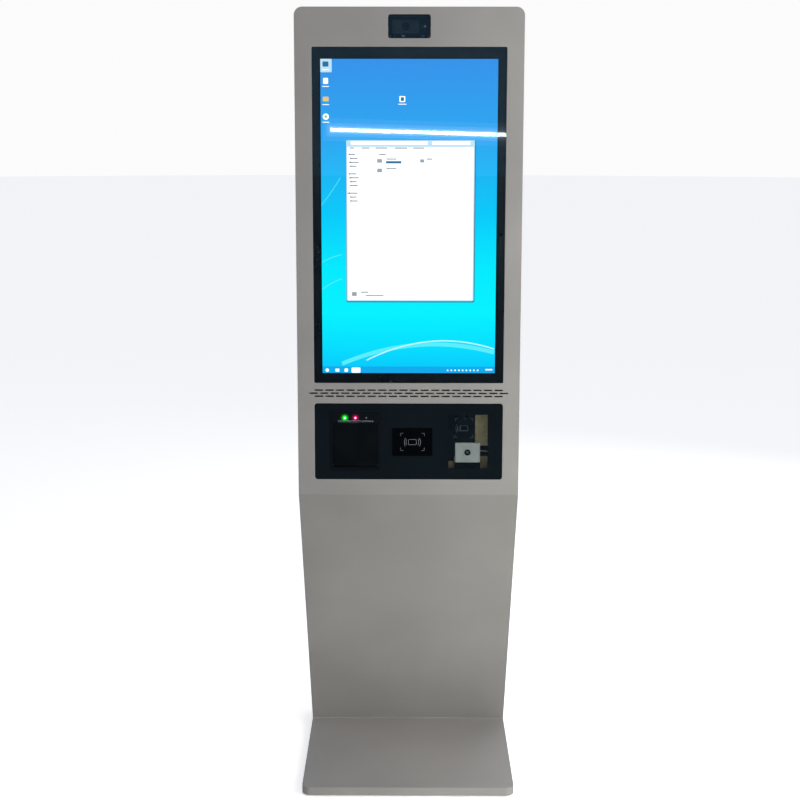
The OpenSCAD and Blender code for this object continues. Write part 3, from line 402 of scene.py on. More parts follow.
# Weld fillet ----------------------------------------------------------------------------------
# The leg is welded to the base along its front edge. The bead is ground to a small hollow and coated
# with the rest, so it shows as a fine pale line.
foot_y, foot_z = leg_hi.y - sheet / math.cos(slope), leg_lo.z
bead_turn = np.linspace(0, math.pi / 2, 6)
bead_r = 2.4 * mm
hollow = np.stack([foot_y - bead_r + bead_r * np.sin(bead_turn) * 0.75,
                   foot_z + bead_r * (1 - np.cos(bead_turn)) * 0.75], -1)
bead = np.concatenate([hollow, [[foot_y + bead_r, foot_z + bead_r]], [[foot_y + bead_r, foot_z - 0.2 * mm]],
                       [[foot_y - bead_r, foot_z - 0.2 * mm]]])
ends = np.array([-1.0, 1.0])[:, None] * (half_w - 1.2 * mm)
bead_points = np.stack([np.broadcast_to(ends, (2, len(bead))), np.broadcast_to(bead[:, 0], (2, len(bead))),
                        np.broadcast_to(bead[:, 1], (2, len(bead)))], -1)
bead_faces = grid_faces(2, len(bead), wrap_columns=True).tolist()
bead_faces += [list(range(len(bead))), list(range(len(bead), 2 * len(bead)))]
settle(piece("leg_weld", bead_points, bead_faces, steel, 60), "cabinet", "painted_steel")

# Frame, ballast plate and pads ----------------------------------------------------------------
# Square tube and flat bar, saw cut, welded and dipped in dark primer. The base stands on six moulded
# rubber pads, and the parts bolted to the frame are zinc plated.
# Dipped primer: dull dark grey with soft drips
primer = finish("dark_dipped_primer", "#2e3234", "#3c4143", 0.55, 0.8, 0.02, patch_mm=45)
# Bright zinc plate: pale, with the soft spangle of a plating bath
zinc = finish("zinc_plated_steel", "#8f9294", "#b3b6b8", 0.34, 0.9, 0.006, patch_mm=9, Metallic=0.6)
# Moulded rubber: dull and near black, with a fine pitted skin
pad_rubber = finish("moulded_pad_rubber", "#131313", "#1d1d1d", 0.82, 0.7, 0.05, patch_mm=18)
dress(primer, "head_frame", "leg_frame", "base_plate", "camera_bracket")
dress(zinc, "cover_screws", "screen_bars", "mounting_plate", "hinge_leaves", "hinge_straps")
dress(pad_rubber, "foot_pads", "screen_gasket")
soften(["foot_pads"], 0.8)
soften(["cover_screws", "hinge_leaves", "hinge_straps", "mounting_plate"], 0.25)

# Cover glass ----------------------------------------------------------------------------------
# Four millimetres of clear float glass with polished edges. Its border is screen printed in black on
# the rear face, so it looks deep and glossy.
# Polished float glass: clear, with sharp reflections and no tint
clear_glass, tree, main = shader("clear_float_glass", "#fbfdfd", 0.0, Transmission_Weight=1.0, IOR=1.5)
dress(clear_glass, "cover_glass")
lit_lo, lit_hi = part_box("screen_panel")
lit_x, lit_z = (lit_lo.x + lit_hi.x) / 2, (lit_lo.z + lit_hi.z) / 2
lit_w, lit_h = lit_hi.x - lit_lo.x, lit_hi.z - lit_lo.z
# Fired enamel print: an even blue-black that shows no brush or dot
black_print = finish("black_glass_print", "#04070a", "#05090c", 0.3, 3.0, 0.0)
ink = 0.1 * mm
glass_mid = (glass_lo + glass_hi) / 2
border = flat_sheet("glass_print", [
    corner_arc(glass_mid.x, glass_mid.z, glass_hi.x - glass_lo.x - mm,
               glass_hi.z - glass_lo.z - mm, 3 * mm),
    corner_arc(lit_x, lit_z, lit_w - 0.6 * mm, lit_h - 0.6 * mm, 0.4 * mm, 3),
], ink, ink / 5, 0)
border.transform(Matrix.Translation((0, glass_hi.y - ink - 0.01 * mm, 0)))
settle(finished("glass_print", border, black_print), "cabinet", "cover_glass")

# Lit picture ----------------------------------------------------------------------------------
# The liquid crystal panel, lit from behind. It shows a plain desktop: a blue sky that turns cyan lower
# down, soft pale arcs, a white file window, blank icons and a bar along the bottom, with no words.
# Mill-finish aluminium sheet: pale grey with a soft sheen
housing_metal = finish("bent_aluminium_sheet", "#85888a", "#9b9ea0", 0.38, 1.2, 0.008, patch_mm=30,
                       Metallic=0.7)
dress(housing_metal, "screen_housing")


def glow(name, colour, strength):
    """New material that only gives light, and its node tree and shader."""
    material = bpy.data.materials.new(name)
    material.use_nodes = True
    tree = material.node_tree
    tree.nodes.clear()
    light = add(tree, "ShaderNodeEmission", {"Color": srgb(colour), "Strength": strength})
    add(tree, "ShaderNodeOutputMaterial", {"Surface": light.outputs[0]})
    return material, tree, light


def stops(ramp, colours):
    """Sets a ramp's stops from pairs of place and hex colour."""
    while len(ramp.elements) < len(colours):
        ramp.elements.new(0.5)
    for stop, (place, colour) in zip(ramp.elements, colours):
        stop.position = place
        stop.color = srgb(colour)


# Liquid crystal lit from behind: an even blue that turns cyan lower down, with no grain
picture, tree, light = glow("lit_liquid_crystal", "#20b0f0", 1.1)
place = add(tree, "ShaderNodeTexCoord")
split = add(tree, "ShaderNodeSeparateXYZ", {0: place.outputs["Object"]})
height = add(tree, "ShaderNodeMapRange",
             {"Value": split.outputs["Z"], "From Min": lit_lo.z, "From Max": lit_hi.z})
blue = add(tree, "ShaderNodeValToRGB", {"Fac": height.outputs[0]})
stops(blue.color_ramp, [(0.0, "#03c2fa"), (0.08, "#02dcff"), (0.2, "#01f2ff"), (0.34, "#01eaff"),
                        (0.52, "#06c8fa"), (0.74, "#24a4ee"), (1.0, "#318ee6")])
tree.links.new(blue.outputs[0], light.inputs["Color"])
dress(picture, "screen_panel")


def cards(name, rows, ahead, material, slot="lit_screen", centre=None, back=None):
    """Flat cards facing forwards. A row is x, z, width, height and corner radius in mm from the centre. All
    lie ahead mm in front of the face at back, and are a twentieth of a millimetre thick."""
    cx, cz = centre or (lit_x, lit_z)
    outlines = np.array([corner_arc(cx + x * mm, cz + z * mm, w * mm, h * mm, r * mm, 4)
                         for x, z, w, h, r in rows])
    y = (lit_lo.y if back is None else back) - ahead * mm
    points = np.stack([outlines[..., 0], np.full(outlines.shape[:2], y), outlines[..., 1]], -1)
    made = piece(name, points, np.arange(outlines.shape[0] * 16).reshape(-1, 16), material, closed=False)
    thicken(made, 0.05)
    return settle(made, "cabinet", slot)


def thicken(made, thick_mm):
    """Gives a flat piece a thickness behind its face."""
    skin = made.modifiers.new("thickness", "SOLIDIFY")
    skin.thickness = thick_mm * mm
    skin.offset = -1
    return made


def ribbons(name, lines, width_mm, y, material, slot="lit_screen"):
    """Flat lines facing forwards: each is a path in x and z, widened by half the width to either side."""
    points, faces, count = [], [], 0
    for line in lines:
        along = np.gradient(line, axis=0)
        along /= np.linalg.norm(along, axis=1, keepdims=True)
        side = np.stack([-along[:, 1], along[:, 0]], -1) * width_mm * mm / 2
        both = np.stack([line - side, line + side], 1)
        points.append(np.stack([both[..., 0], np.full(both.shape[:2], y), both[..., 1]], -1).reshape(-1, 3))
        quads = grid_faces(len(line), 2)[:, ::-1] + count
        faces += quads.tolist()
        count += 2 * len(line)
    made = piece(name, np.concatenate(points), faces, material, closed=False)
    if made.data.polygons[0].normal.y > 0:
        made.data.flip_normals()
    thicken(made, 0.05)
    return settle(made, "cabinet", slot)


def bow(x0, z0, x1, z1, rise, count=40):
    """Path in mm from the picture's centre: a chord raised by a parabola of that rise at its middle."""
    t = np.linspace(0, 1, count)
    lift = 4 * rise * t * (1 - t)
    return np.stack([lit_x + (x0 + (x1 - x0) * t) * mm, lit_z + (z0 + (z1 - z0) * t + lift) * mm], -1)


# The picture's few flat colours, each an even light with no texture
window_white = glow("picture_white", "#ffffff", 1.25)[0]
pale_blue = glow("picture_pale_blue", "#bfe2f6", 1.1)[0]
soft_cyan = glow("picture_soft_cyan", "#5df3ff", 1.05)[0]
arc_white = glow("picture_arc_white", "#c9fbff", 1.1)[0]
mark_grey = glow("picture_grey", "#66727e", 1.0)[0]
bar_blue = glow("picture_bar_blue", "#10b2f4", 1.0)[0]
line_blue = glow("picture_line_blue", "#2b6f9e", 1.0)[0]
leaf_green = glow("picture_green", "#7fd18a", 1.0)[0]
sand = glow("picture_sand", "#f3cf7a", 1.0)[0]
ribbons("picture_arc_low", [bow(-95, -318, 192, -292, 30)], 2.6, lit_lo.y - 0.06 * mm, arc_white)
ribbons("picture_arc_haze", [bow(-150, -326, 192, -300, 30)], 9.0, lit_lo.y - 0.03 * mm, soft_cyan)
ribbons("picture_arcs_left",
        [bow(-196, 28, -152, 90, -3), bow(-196, -98, -150, -80, 2), bow(-196, -160, -150, -134, 3)],
        1.4, lit_lo.y - 0.06 * mm, soft_cyan)
win_x, win_z, win_w, win_h = 3, -6, 284, 356
win_top, win_left = win_z + win_h / 2, win_x - win_w / 2
cards("window_shadow", [(win_x + 0.6, win_z - 1.2, win_w + 3, win_h + 3, 3)], 0.12, line_blue)
cards("window_frame", [(win_x, win_z, win_w, win_h, 2.5)], 0.2, pale_blue)
cards("window_sheet",
      [(win_x, win_z - 6, win_w - 5, win_h - 17, 0.8), (win_left + 96, win_top - 6, 168, 8, 1),
       (win_left + 232, win_top - 6, 84, 8, 1), (win_left + 14, win_top - 6, 8, 8, 4),
       (win_left + 25, win_top - 6, 7, 7, 3.5)], 0.3, window_white)
cards("window_lines",
      [(win_x, win_top - 12, win_w - 5, 0.8, 0.3), (win_left + 54, win_z - 34, 0.5, win_h - 96, 0.2)],
      0.42, pale_blue)
tool_marks = [(win_left + x, win_top - 17, w, 2, 0.7)
              for x, w in ((13, 10), (43, 18), (78, 26), (121, 28), (160, 24))]
tree_marks = [(win_left + 14 + 3 * (i % 4 > 0), win_top - 31 - 8.6 * i - 8 * (i // 4),
               12 + 5 * (i % 3), 1.9, 0.6)
              for i in range(11)]
tree_marks += [(win_left + 7 + 3 * (i % 4 > 0), win_top - 31 - 8.6 * i - 8 * (i // 4), 3, 3, 0.8)
               for i in range(11)]
item_marks = [(win_left + 80, win_top - 31, 14, 1.9, 0.6), (win_left + 100, win_top - 41, 22, 1.9, 0.6),
              (win_left + 100, win_top - 62, 22, 1.9, 0.6), (win_left + 184, win_top - 41, 12, 1.9, 0.6),
              (win_left + 40, win_z - win_h / 2 + 20, 16, 2, 0.6),
              (win_left + 62, win_z - win_h / 2 + 13, 40, 1.8, 0.6)]
cards("window_marks", tool_marks + tree_marks + item_marks, 0.42, mark_grey)
cards("window_meters", [(win_left + 105, win_top - 48, 34, 5, 0.6)], 0.42, line_blue)
# Flat grey of the blank icons in the window
soft_grey = glow("picture_soft_grey", "#a3adb6", 1.0)[0]
cards("window_items", [(win_left + 74, win_top - 45, 11, 8, 1.5), (win_left + 74, win_top - 66, 11, 8, 1.5),
                       (win_left + 168, win_top - 45, 9, 7, 1.5),
                       (win_left + 17, win_z - win_h / 2 + 16, 11, 9, 2)],
      0.42, soft_grey)
cards("icon_choice", [(-182, 333, 25, 29, 1.5)], 0.12, pale_blue)
icon_z = [336, 300, 261, 223]
cards("icons_white", [(-183, icon_z[1], 11, 13, 2), (-15, 261, 13, 13, 1.5), (-183, icon_z[3], 14, 14, 7)]
      + [(-183, z - 12, 15, 1.7, 0.6) for z in icon_z] + [(-15, 250, 18, 1.7, 0.6)], 0.3, window_white)
cards("icons_blue", [(-183, icon_z[0], 13, 11, 2), (-15, 261, 7, 8, 1)], 0.42, line_blue)
cards("icons_green", [(-183, icon_z[3], 6, 6, 3)], 0.42, leaf_green)
cards("icons_sand", [(-183, icon_z[2], 13, 10, 2)], 0.42, sand)
bar_z = -lit_h / mm / 2 + 8.5
cards("task_bar", [(0, bar_z, lit_w / mm - 1, 16.5, 0.2)], 0.12, bar_blue)
cards("task_marks",
      [(-184, bar_z, 8, 8, 4), (-161, bar_z, 9, 7, 1.5), (-141, bar_z, 8, 8, 2), (-119, bar_z, 20, 12, 1.5),
       (181, bar_z + 1.5, 16, 3, 0.8)] + [(88 + 8.5 * i, bar_z, 3, 3.4, 0.8) for i in range(9)], 0.3,
       window_white)

# Screen side camera ---------------------------------------------------------------------------
# A moulded camera on a steel bracket behind a smoked window, with a coated lens and an infrared lamp.
# Smoked cast acrylic: a grey tint with sharp reflections
smoked, tree, main = shader("smoked_acrylic_window", "#a2abb2", 0.02, Transmission_Weight=1.0, IOR=1.49)
dress(smoked, "camera_window")
# Moulded shell: dark grey, nearly smooth, with a soft sheen
camera_shell = finish("moulded_grey_black", "#565d65", "#626a72", 0.42, 0.5, 0.01, patch_mm=25)
# Coated glass: almost black with a deep blue cast and a hard highlight
optic = finish("coated_lens_glass", "#05070f", "#0c1024", 0.06, 4.0, 0.0, patch_mm=6, Coat_Weight=1.0,
               Coat_Roughness=0.02)
dress(camera_shell, "camera_body")
dress(optic, "camera_lens", "scanner_lens", "infrared_lamp")
soften(["camera_body"], 0.8)


def turned(name, profile, centre, material, body, slot, *replaced, count=48):
    """Surface of revolution about a line along y. The profile gives radius and y in mm from the centre, and
    runs from the middle of the front to that of the back."""
    radius, deep = (np.array(profile, float) * mm).T
    turn = np.linspace(0, 2 * math.pi, count, endpoint=False)
    points = np.stack([centre[0] + radius[:, None] * np.cos(turn),
                       np.broadcast_to(centre[1] + deep[:, None], (len(deep), count)),
                       centre[2] + radius[:, None] * np.sin(turn)], -1)
    made = piece(name, points, grid_faces(len(deep), count, wrap_columns=True), material)
    return settle(made, body, slot, *replaced)


eye_lo, eye_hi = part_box("camera_lens")
eye = ((eye_lo.x + eye_hi.x) / 2, eye_lo.y, (eye_lo.z + eye_hi.z) / 2)
# Satin black anodised aluminium: dark, with a thin bright line along each edge
ring_metal = finish("satin_black_anodised", "#15181b", "#1d2226", 0.3, 0.6, 0.004, patch_mm=10,
                    Metallic=0.6)
turned("camera_ring",
       [(6.2, 0.6), (6.3, 0.1), (7.0, -0.2), (7.9, 0.1), (8.2, 0.6), (8.2, 1.2), (6.2, 1.2), (6.2, 0.6)],
       eye, ring_metal, "cabinet", "optic")
turned("camera_eye", [(0, -0.6), (1.2, -0.52), (2.4, -0.28), (3.4, 0.1), (3.4, 0.5), (0, 0.5)],
       (eye[0], eye[1] + 0.3 * mm, eye[2]), optic, "cabinet", "optic", count=32)
# Painted highlights round the lens, standing for glints on the shell: a flat pale grey dot and two thin lines
camera_glint_paint = finish("camera_painted_glints", "#8d949a", "#9aa1a7", 0.5, 0.5, 0.0)
cards("camera_glint_marks", [(-19, 0, 2.2, 2.2, 1.0), (0, -11.2, 14, 0.7, 0.3), (0, 11.2, 14, 0.7, 0.3)], 0.05,
      camera_glint_paint, slot="black_plastic", centre=(eye[0], eye[2]), back=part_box("camera_body")[0].y)
lamp_lo, lamp_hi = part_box("infrared_lamp")
# Clear cast resin, drawn as a pale bright dome: its paleness is a painted highlight for the lamp's glint
dome_painted_glint = finish("lamp_resin_painted_glint", "#c9ced3", "#e6eaee", 0.08, 2.0, 0.0, Coat_Weight=1.0)
turned("infrared_dome", [(0, -2.2), (1.4, -1.9), (2.5, -1.1), (3.0, 0), (0, 0)],
       ((lamp_lo.x + lamp_hi.x) / 2, lamp_lo.y, (lamp_lo.z + lamp_hi.z) / 2), dome_painted_glint, "cabinet",
       "optic", count=24)

# Speakers -------------------------------------------------------------------------------------
# Two moulded boxes behind the slots, each with two paper cones.
# Moulded ABS: near black with a fine even grain
moulded = finish("moulded_black_abs", "#0d1012", "#14181b", 0.4, 0.6, 0.02, patch_mm=30)
dress(moulded, "speakers", "printer_case", "card_reader_case", "scanner_tray", "fan_frame", "power_inlet")
soften(["power_inlet"], 0.4)

# Control panel --------------------------------------------------------------------------------
# Three millimetre cast acrylic, gloss black right through, cut for the printer and the two readers.
# Polished cast acrylic: deep gloss black, a little wavy over a hand's width
acrylic = finish("gloss_black_acrylic", "#0b1013", "#0d1317", 0.09, 9.0, 0.01, patch_mm=120,
                 Coat_Weight=0.5, Coat_Roughness=0.03)
dress(acrylic, "control_panel")

# Ticket printer -------------------------------------------------------------------------------
# A panel-mount thermal printer: a moulded bezel and a hinged door with a fine spark-eroded texture, a
# rubber platen on a steel axle, an alloy print head and a toothed steel tear bar.
def reach_from(tree, centre, axes):
    """Distance in metres from a centre along the axes marked 1: the length of (place - centre) * axes."""
    place = add(tree, "ShaderNodeTexCoord").outputs["Object"]
    back = tuple(-c * a for c, a in zip(centre, axes))
    centred = add(tree, "ShaderNodeMapping", {"Vector": place, "Location": back, "Scale": axes})
    return add(tree, "ShaderNodeVectorMath", {0: centred.outputs[0]}, operation="LENGTH").outputs["Value"]


# Spark-eroded moulded plastic: near black, with a soft broken sheen, and a painted glow round the lamps
bezel_abs, tree, main = shader("spark_textured_abs", "#070a0c", 0.3, Specular_IOR_Level=0.35)
# The same plastic, a shade darker and finer, as the door is a separate moulding
door_abs = finish("spark_textured_abs_door", "#030506", "#05080a", 0.34, 0.9, 0.02, patch_mm=40,
                  Specular_IOR_Level=0.25)
dress(bezel_abs, "printer_bezel")
# Painted glow: the moulding round each lit lamp gives off light, falling as the cube of the way out to 12 mm
painted_lamp_glow = add(tree, "ShaderNodeCombineXYZ")
for channel, lamp_name, full in (("X", "fault_lamp", 0.5), ("Y", "power_lamp", 1.0),
                                 ("Z", "fault_lamp", 0.12)):
    lo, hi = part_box(lamp_name)
    middle = (lo + hi) / 2
    fall = add(tree, "ShaderNodeMapRange",
               {"Value": reach_from(tree, middle, (1, 0, 1)), "From Min": 1.5 * mm, "From Max": 12 * mm,
                "To Min": 1.0, "To Max": 0.0})
    cube = add(tree, "ShaderNodeMath", {0: fall.outputs[0], 1: 3.0}, operation="POWER")
    scaled = add(tree, "ShaderNodeMath", {0: cube.outputs[0], 1: full}, operation="MULTIPLY")
    tree.links.new(scaled.outputs[0], painted_lamp_glow.inputs[channel])
tree.links.new(painted_lamp_glow.outputs[0], main.inputs["Emission Color"])
main.inputs["Emission Strength"].default_value = 2.2
dress(door_abs, "printer_door")
soften(["printer_bezel", "printer_door"], 0.5)
# Ground steel: bright, with fine lines drawn out along x
bright_steel = finish("ground_steel", "#b9bcbf", "#d2d4d6", 0.16, 0.4, 0.002, patch_mm=8,
                      stretch=(6, 1, 1), Metallic=1.0)
dress(bright_steel, "printer_door_pin", "hinge_pins", "lock_barrel", "lock_plug")
soften(["lock_barrel", "lock_plug"], 0.4)
# Ground rubber: dull dark grey with faint lines left by the wheel
ground_rubber = finish("ground_platen_rubber", "#17191b", "#202326", 0.66, 0.35, 0.02, stretch=(3, 1, 1))
dress(ground_rubber, "platen_roller")
# Die-cast alloy: pale grey, slightly rough as it left the mould
head_alloy = finish("cast_head_alloy", "#989b9e", "#b1b3b5", 0.42, 1.1, 0.03, patch_mm=12, Metallic=1.0)
dress(head_alloy, "print_head")
# Rolled stainless strip: bright, with fine drawn lines
tear_steel = finish("tear_bar_steel", "#a9adb0", "#c3c6c8", 0.25, 0.5, 0.003, stretch=(6, 1, 1),
                    Metallic=1.0)
dress(tear_steel, "tear_bar")

roll_lo, roll_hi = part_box("paper_roll")
roll_mid = (roll_lo + roll_hi) / 2
# Thermal paper: smooth warm white, with the wound layers as rings on its ends
paper, tree, main = shader("thermal_paper", "#f1efe9", 0.62)
# Layers are 0.06 mm apart, which is too fine to show, so they are drawn 0.8 mm apart
layers = add(tree, "ShaderNodeMath",
             {0: reach_from(tree, roll_mid, (0, 1, 1)), 1: 2 * math.pi / (0.8 * mm)},
             operation="MULTIPLY")
wave = add(tree, "ShaderNodeMath", {0: layers.outputs[0]}, operation="SINE")
edge_bump = add(tree, "ShaderNodeBump", {"Height": wave.outputs[0], "Distance": 0.05 * mm, "Strength": 0.8})
tint = add(tree, "ShaderNodeMix", {"Factor": wave.outputs[0]}, data_type="RGBA")
tint.inputs[6].default_value = srgb("#e9e6df")
tint.inputs[7].default_value = srgb("#f5f4ef")
tree.links.new(tint.outputs[2], main.inputs["Base Color"])
tree.links.new(edge_bump.outputs[0], main.inputs["Normal"])
dress(paper, "paper_roll")
soften(["paper_roll"], 0.5)

# Each lamp's lens is a low dome on a 5 mm barrel with a flange behind the bezel
lens_profile = [(0, -1.0), (1.0, -0.85), (1.9, -0.4), (2.5, 0.4), (2.5, 3.6), (3.1, 3.6), (3.1, 4.8),
                (0, 4.8)]
lamp_colours = {"power_lamp": ("#12ff3a", "#a8ffb4", 9, "green_lamp"),
                "fault_lamp": ("#ff3056", "#ffc6d0", 4, "red_lamp")}
for lamp_name, (rim_colour, core_colour, strength, lamp_slot) in lamp_colours.items():
    lo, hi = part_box(lamp_name)
    middle = (lo + hi) / 2
    # Lit resin: nearly white at its middle, where the diode is, and full colour at its rim
    lit, tree, light = glow("lit_" + lamp_slot, rim_colour, strength)
    near = add(tree, "ShaderNodeMapRange",
               {"Value": reach_from(tree, middle, (1, 0, 1)), "From Max": 2.4 * mm})
    ramp = add(tree, "ShaderNodeValToRGB", {"Fac": near.outputs[0]})
    stops(ramp.color_ramp, [(0.35, core_colour), (0.9, rim_colour)])
    tree.links.new(ramp.outputs[0], light.inputs["Color"])
    turned(lamp_name + "_lens", lens_profile,
           (middle.x, lo.y + 0.4 * mm, middle.z), lit, "cabinet", lamp_slot, lamp_name, count=32)
lo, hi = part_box("paper_lamp")
middle = (lo + hi) / 2
# Unlit lamp: dark grey resin under a gloss skin
unlit = finish("unlit_lamp_resin", "#3c4246", "#4a5156", 0.1, 2.0, 0.0, Coat_Weight=1.0)
turned("paper_lamp_lens", lens_profile,
       (middle.x, lo.y + 0.4 * mm, middle.z), unlit, "cabinet", "dark_lamp", "paper_lamp", count=32)

# Card reader ----------------------------------------------------------------------------------
# A sealed contactless reader behind its own gloss black cover, which carries a screen-printed mark: the
# outline of a card between two arcs, inside four corner brackets.
# Polished black cover: darker than the panel, and glossy but without bright glare
cover_black = finish("polished_black_cover", "#020304", "#030405", 0.2, 4.0, 0.0, patch_mm=30,
                     Specular_IOR_Level=0.18)
dress(cover_black, "card_reader_cover")
soften(["card_reader_cover"], 0.5)
# Screen-printed ink: flat blue-grey
grey_print = finish("grey_screen_print", "#727784", "#7f8491", 0.5, 1.0, 0.0, patch_mm=5)


def card_mark(name, x, z, y, material, slot, wide=54, high=40, arcs=(-1, 1)):
    """Mark about x, z on the face at y: corner brackets, a card's outline and arcs on each named side."""
    arm = 6.5
    corners = []
    for sx in (-1, 1):
        for sz in (-1, 1):
            corners.append((sx * (wide - arm) / 2, sz * high / 2, arm, 0.6, 0.2))
            corners.append((sx * wide / 2, sz * (high - arm) / 2, 0.6, arm, 0.2))
    cards(name + "_brackets", corners, 0.06, material, slot=slot, centre=(x, z), back=y)
    outline = corner_arc(x, z - 0.5 * mm, 18 * mm, 12 * mm, 2.4 * mm, 6)
    lines = [np.concatenate([outline, outline[:2]])]
    for arc_r, half_turn in ((18.5, 0.55), (14.5, 0.5)):
        bend = np.linspace(-half_turn, half_turn, 18)
        across, up = arc_r * mm * np.cos(bend), arc_r * mm * np.sin(bend)
        lines += [np.stack([x + side * across, z - 0.5 * mm + up], -1) for side in arcs]
    ribbons(name + "_card", lines, 0.8, y - 0.06 * mm, material, slot=slot)


card_lo, card_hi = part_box("card_reader_cover")
card_mark("card_mark", (card_lo.x + card_hi.x) / 2, (card_lo.z + card_hi.z) / 2, card_lo.y, grey_print,
          "black_acrylic")

# Document scanner -----------------------------------------------------------------------------
# Behind a clear window: a buff fibreboard that carries a black identity card reader with its printed
# mark, a silver scanner whose face slopes in to its lens, a foot, black tape and a thin lead.
# Thin float glass: clear with a faint green edge colour
thin_glass, tree, main = shader("clear_window_glass", "#f4fafa", 0.01, Transmission_Weight=1.0, IOR=1.45)
dress(thin_glass, "scanner_window")
# Fibreboard: dull buff with short drawn-out fibres
board = finish("buff_fibreboard", "#b3a57a", "#cbbf98", 0.8, 1.6, 0.12, patch_mm=7, stretch=(3, 1, 1))
dress(board, "scanner_board")
# Smooth moulded black: a low even gloss
pad_black = finish("reader_pad_black", "#0b0e12", "#101418", 0.25, 1.0, 0.005, patch_mm=30)
dress(pad_black, "id_reader")
soften(["id_reader"], 0.8)
view_lo, view_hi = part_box("scanner_window")
reader_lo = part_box("id_reader")[0]
board_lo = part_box("scanner_board")[0]
shell_lo, shell_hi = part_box("scanner_body")
card_mark("reader_mark", reader_lo.x + 37 * mm, view_hi.z - lap - 32 * mm, reader_lo.y, grey_print,
          "black_plastic",
          wide=40, high=44, arcs=(-1,))
# Silver moulded ABS: pale warm grey with a satin skin
silver = finish("silver_moulded_abs", "#bcbebb", "#c9cbc8", 0.38, 0.7, 0.01, patch_mm=24)
shell_x, shell_z = (shell_lo.x + shell_hi.x) / 2, (shell_lo.z + shell_hi.z) / 2
shell_w, shell_h = shell_hi.x - shell_lo.x, shell_hi.z - shell_lo.z
turn = np.linspace(0, 2 * math.pi, 96, endpoint=False)
square_reach = 1 / np.maximum(np.abs(np.cos(turn)), np.abs(np.sin(turn)))
square = np.stack([np.cos(turn) * square_reach * shell_w / 2,
                   np.sin(turn) * square_reach * shell_h / 2], -1)
round_hole = np.stack([np.cos(turn), np.sin(turn)], -1) * 7.1 * mm
share = np.array([0, 0, 0, 0.5, 0.96, 1.0, 1.0])[:, None, None]
deep = np.array([7.5, 5.2, 4.0, 2.1, 0.2, 0.6, (shell_hi.y - shell_lo.y) / mm])[:, None] * mm
flat = round_hole * (1 - share) + square * share + np.array([shell_x, shell_z])
shell_points = np.stack([flat[..., 0], np.broadcast_to(shell_lo.y + deep, (7, 96)), flat[..., 1]], -1)
scanner_shell = piece("scanner_shell", shell_points, grid_faces(7, 96, wrap_columns=True), silver, 12,
                      closed=False)
thicken(scanner_shell, 1.0)
settle(scanner_shell, "cabinet", "scanner_shell", "scanner_body")
# Coated glass of the scanner: grey-green under a hard gloss
iris_glass = finish("green_coated_glass", "#56655c", "#74857a", 0.12, 2.0, 0.0, patch_mm=4, Coat_Weight=1.0)
turned("scanner_iris", [(0, 0.6), (1.2, 0.5), (2.2, 0.0), (2.6, -0.2), (2.9, 0.2), (2.9, 1.0), (0, 1.0)],
       (shell_x, shell_lo.y + 2.6 * mm, shell_z), iris_glass, "cabinet", "optic", count=32)


def block(name, x0, x1, y0, y1, z0, z1, round_mm, material, slot):
    """Moulded block between two corners in metres, with its upright edges and its rims rounded."""
    outline = corner_arc((x0 + x1) / 2, (z0 + z1) / 2, x1 - x0, z1 - z0, 2 * round_mm * mm, 5)
    mesh = flat_sheet(name, [outline], y1 - y0, round_mm * mm)
    mesh.transform(Matrix.Translation((0, y0, 0)))
    return settle(finished(name, mesh, material), "cabinet", slot)


window_low = view_lo.z + lap
foot_gap = 0.3 * mm
block("scanner_foot", shell_lo.x - 2 * mm, shell_hi.x + 2 * mm, shell_lo.y + 2 * mm, board_lo.y - foot_gap,
      window_low - 3 * mm, shell_lo.z - foot_gap, 0.8, pad_black, "black_plastic")
block("left_baffle", view_lo.x + mm, shell_lo.x - 3 * mm, board_lo.y - 9 * mm, board_lo.y - foot_gap,
      window_low + 15 * mm, reader_lo.z - foot_gap, 0.8, pad_black, "black_plastic")
# Cloth tape: dull black with an upright weave
tape = finish("black_cloth_tape", "#0a0a0a", "#121212", 0.7, 0.8, 0.05, patch_mm=10, stretch=(1, 1, 4))
block("board_tape", shell_hi.x + 0.5 * mm, view_hi.x - mm, board_lo.y - 0.5 * mm, board_lo.y - 0.05 * mm,
      shell_lo.z + 11 * mm, shell_lo.z + 35 * mm, 0.2, tape, "black_plastic")


def tube(name, route_mm, radius_mm, material, body, slot, count=12):
    """Round lead: a circle carried along a smooth path through the route's points, in mm."""
    route = np.array(route_mm, float)
    t = np.linspace(0, len(route) - 1, 8 * len(route))
    k = np.clip(t.astype(int), 0, len(route) - 2)
    f = (t - k)[:, None]
    before, after = route[np.maximum(k - 1, 0)], route[np.minimum(k + 2, len(route) - 1)]
    a, b = route[k], route[k + 1]
    path = (2 * a + (b - before) * f + (2 * before - 5 * a + 4 * b - after) * f ** 2
            + (3 * a - before - 3 * b + after) * f ** 3) / 2 * mm
    along = np.gradient(path, axis=0)
    along /= np.linalg.norm(along, axis=1, keepdims=True)
    side = np.cross(along, [0.1, 0.97, 0.2])
    side /= np.linalg.norm(side, axis=1, keepdims=True)
    other = np.cross(along, side)
    turn = np.linspace(0, 2 * math.pi, count, endpoint=False)[None, :, None]
    ring = path[:, None] + radius_mm * mm * (np.cos(turn) * side[:, None] + np.sin(turn) * other[:, None])
    faces = grid_faces(len(path), count, wrap_columns=True).tolist()
    faces += [list(range(count))[::-1], list(range((len(path) - 1) * count, len(path) * count))]
    return settle(piece(name, ring, faces, material), body, slot)


# Soft sheath: pale grey with a low sheen
lead_grey = finish("pale_lead_sheath", "#c6c8c0", "#dedfd8", 0.45, 0.6, 0.01)
lead_y = board_lo.y / mm - 2.2
tube("scanner_lead",
     [(shell_hi.x / mm + 0.4, lead_y, shell_lo.z / mm + 24),
      (shell_hi.x / mm + 8, lead_y - 0.4, shell_lo.z / mm + 23.4),
      (view_hi.x / mm - 8, lead_y, shell_lo.z / mm + 22.4),
      (view_hi.x / mm - 1.5, lead_y + 0.2, shell_lo.z / mm + 21.8)],
     1.2, lead_grey, "cabinet", "cable_skin")

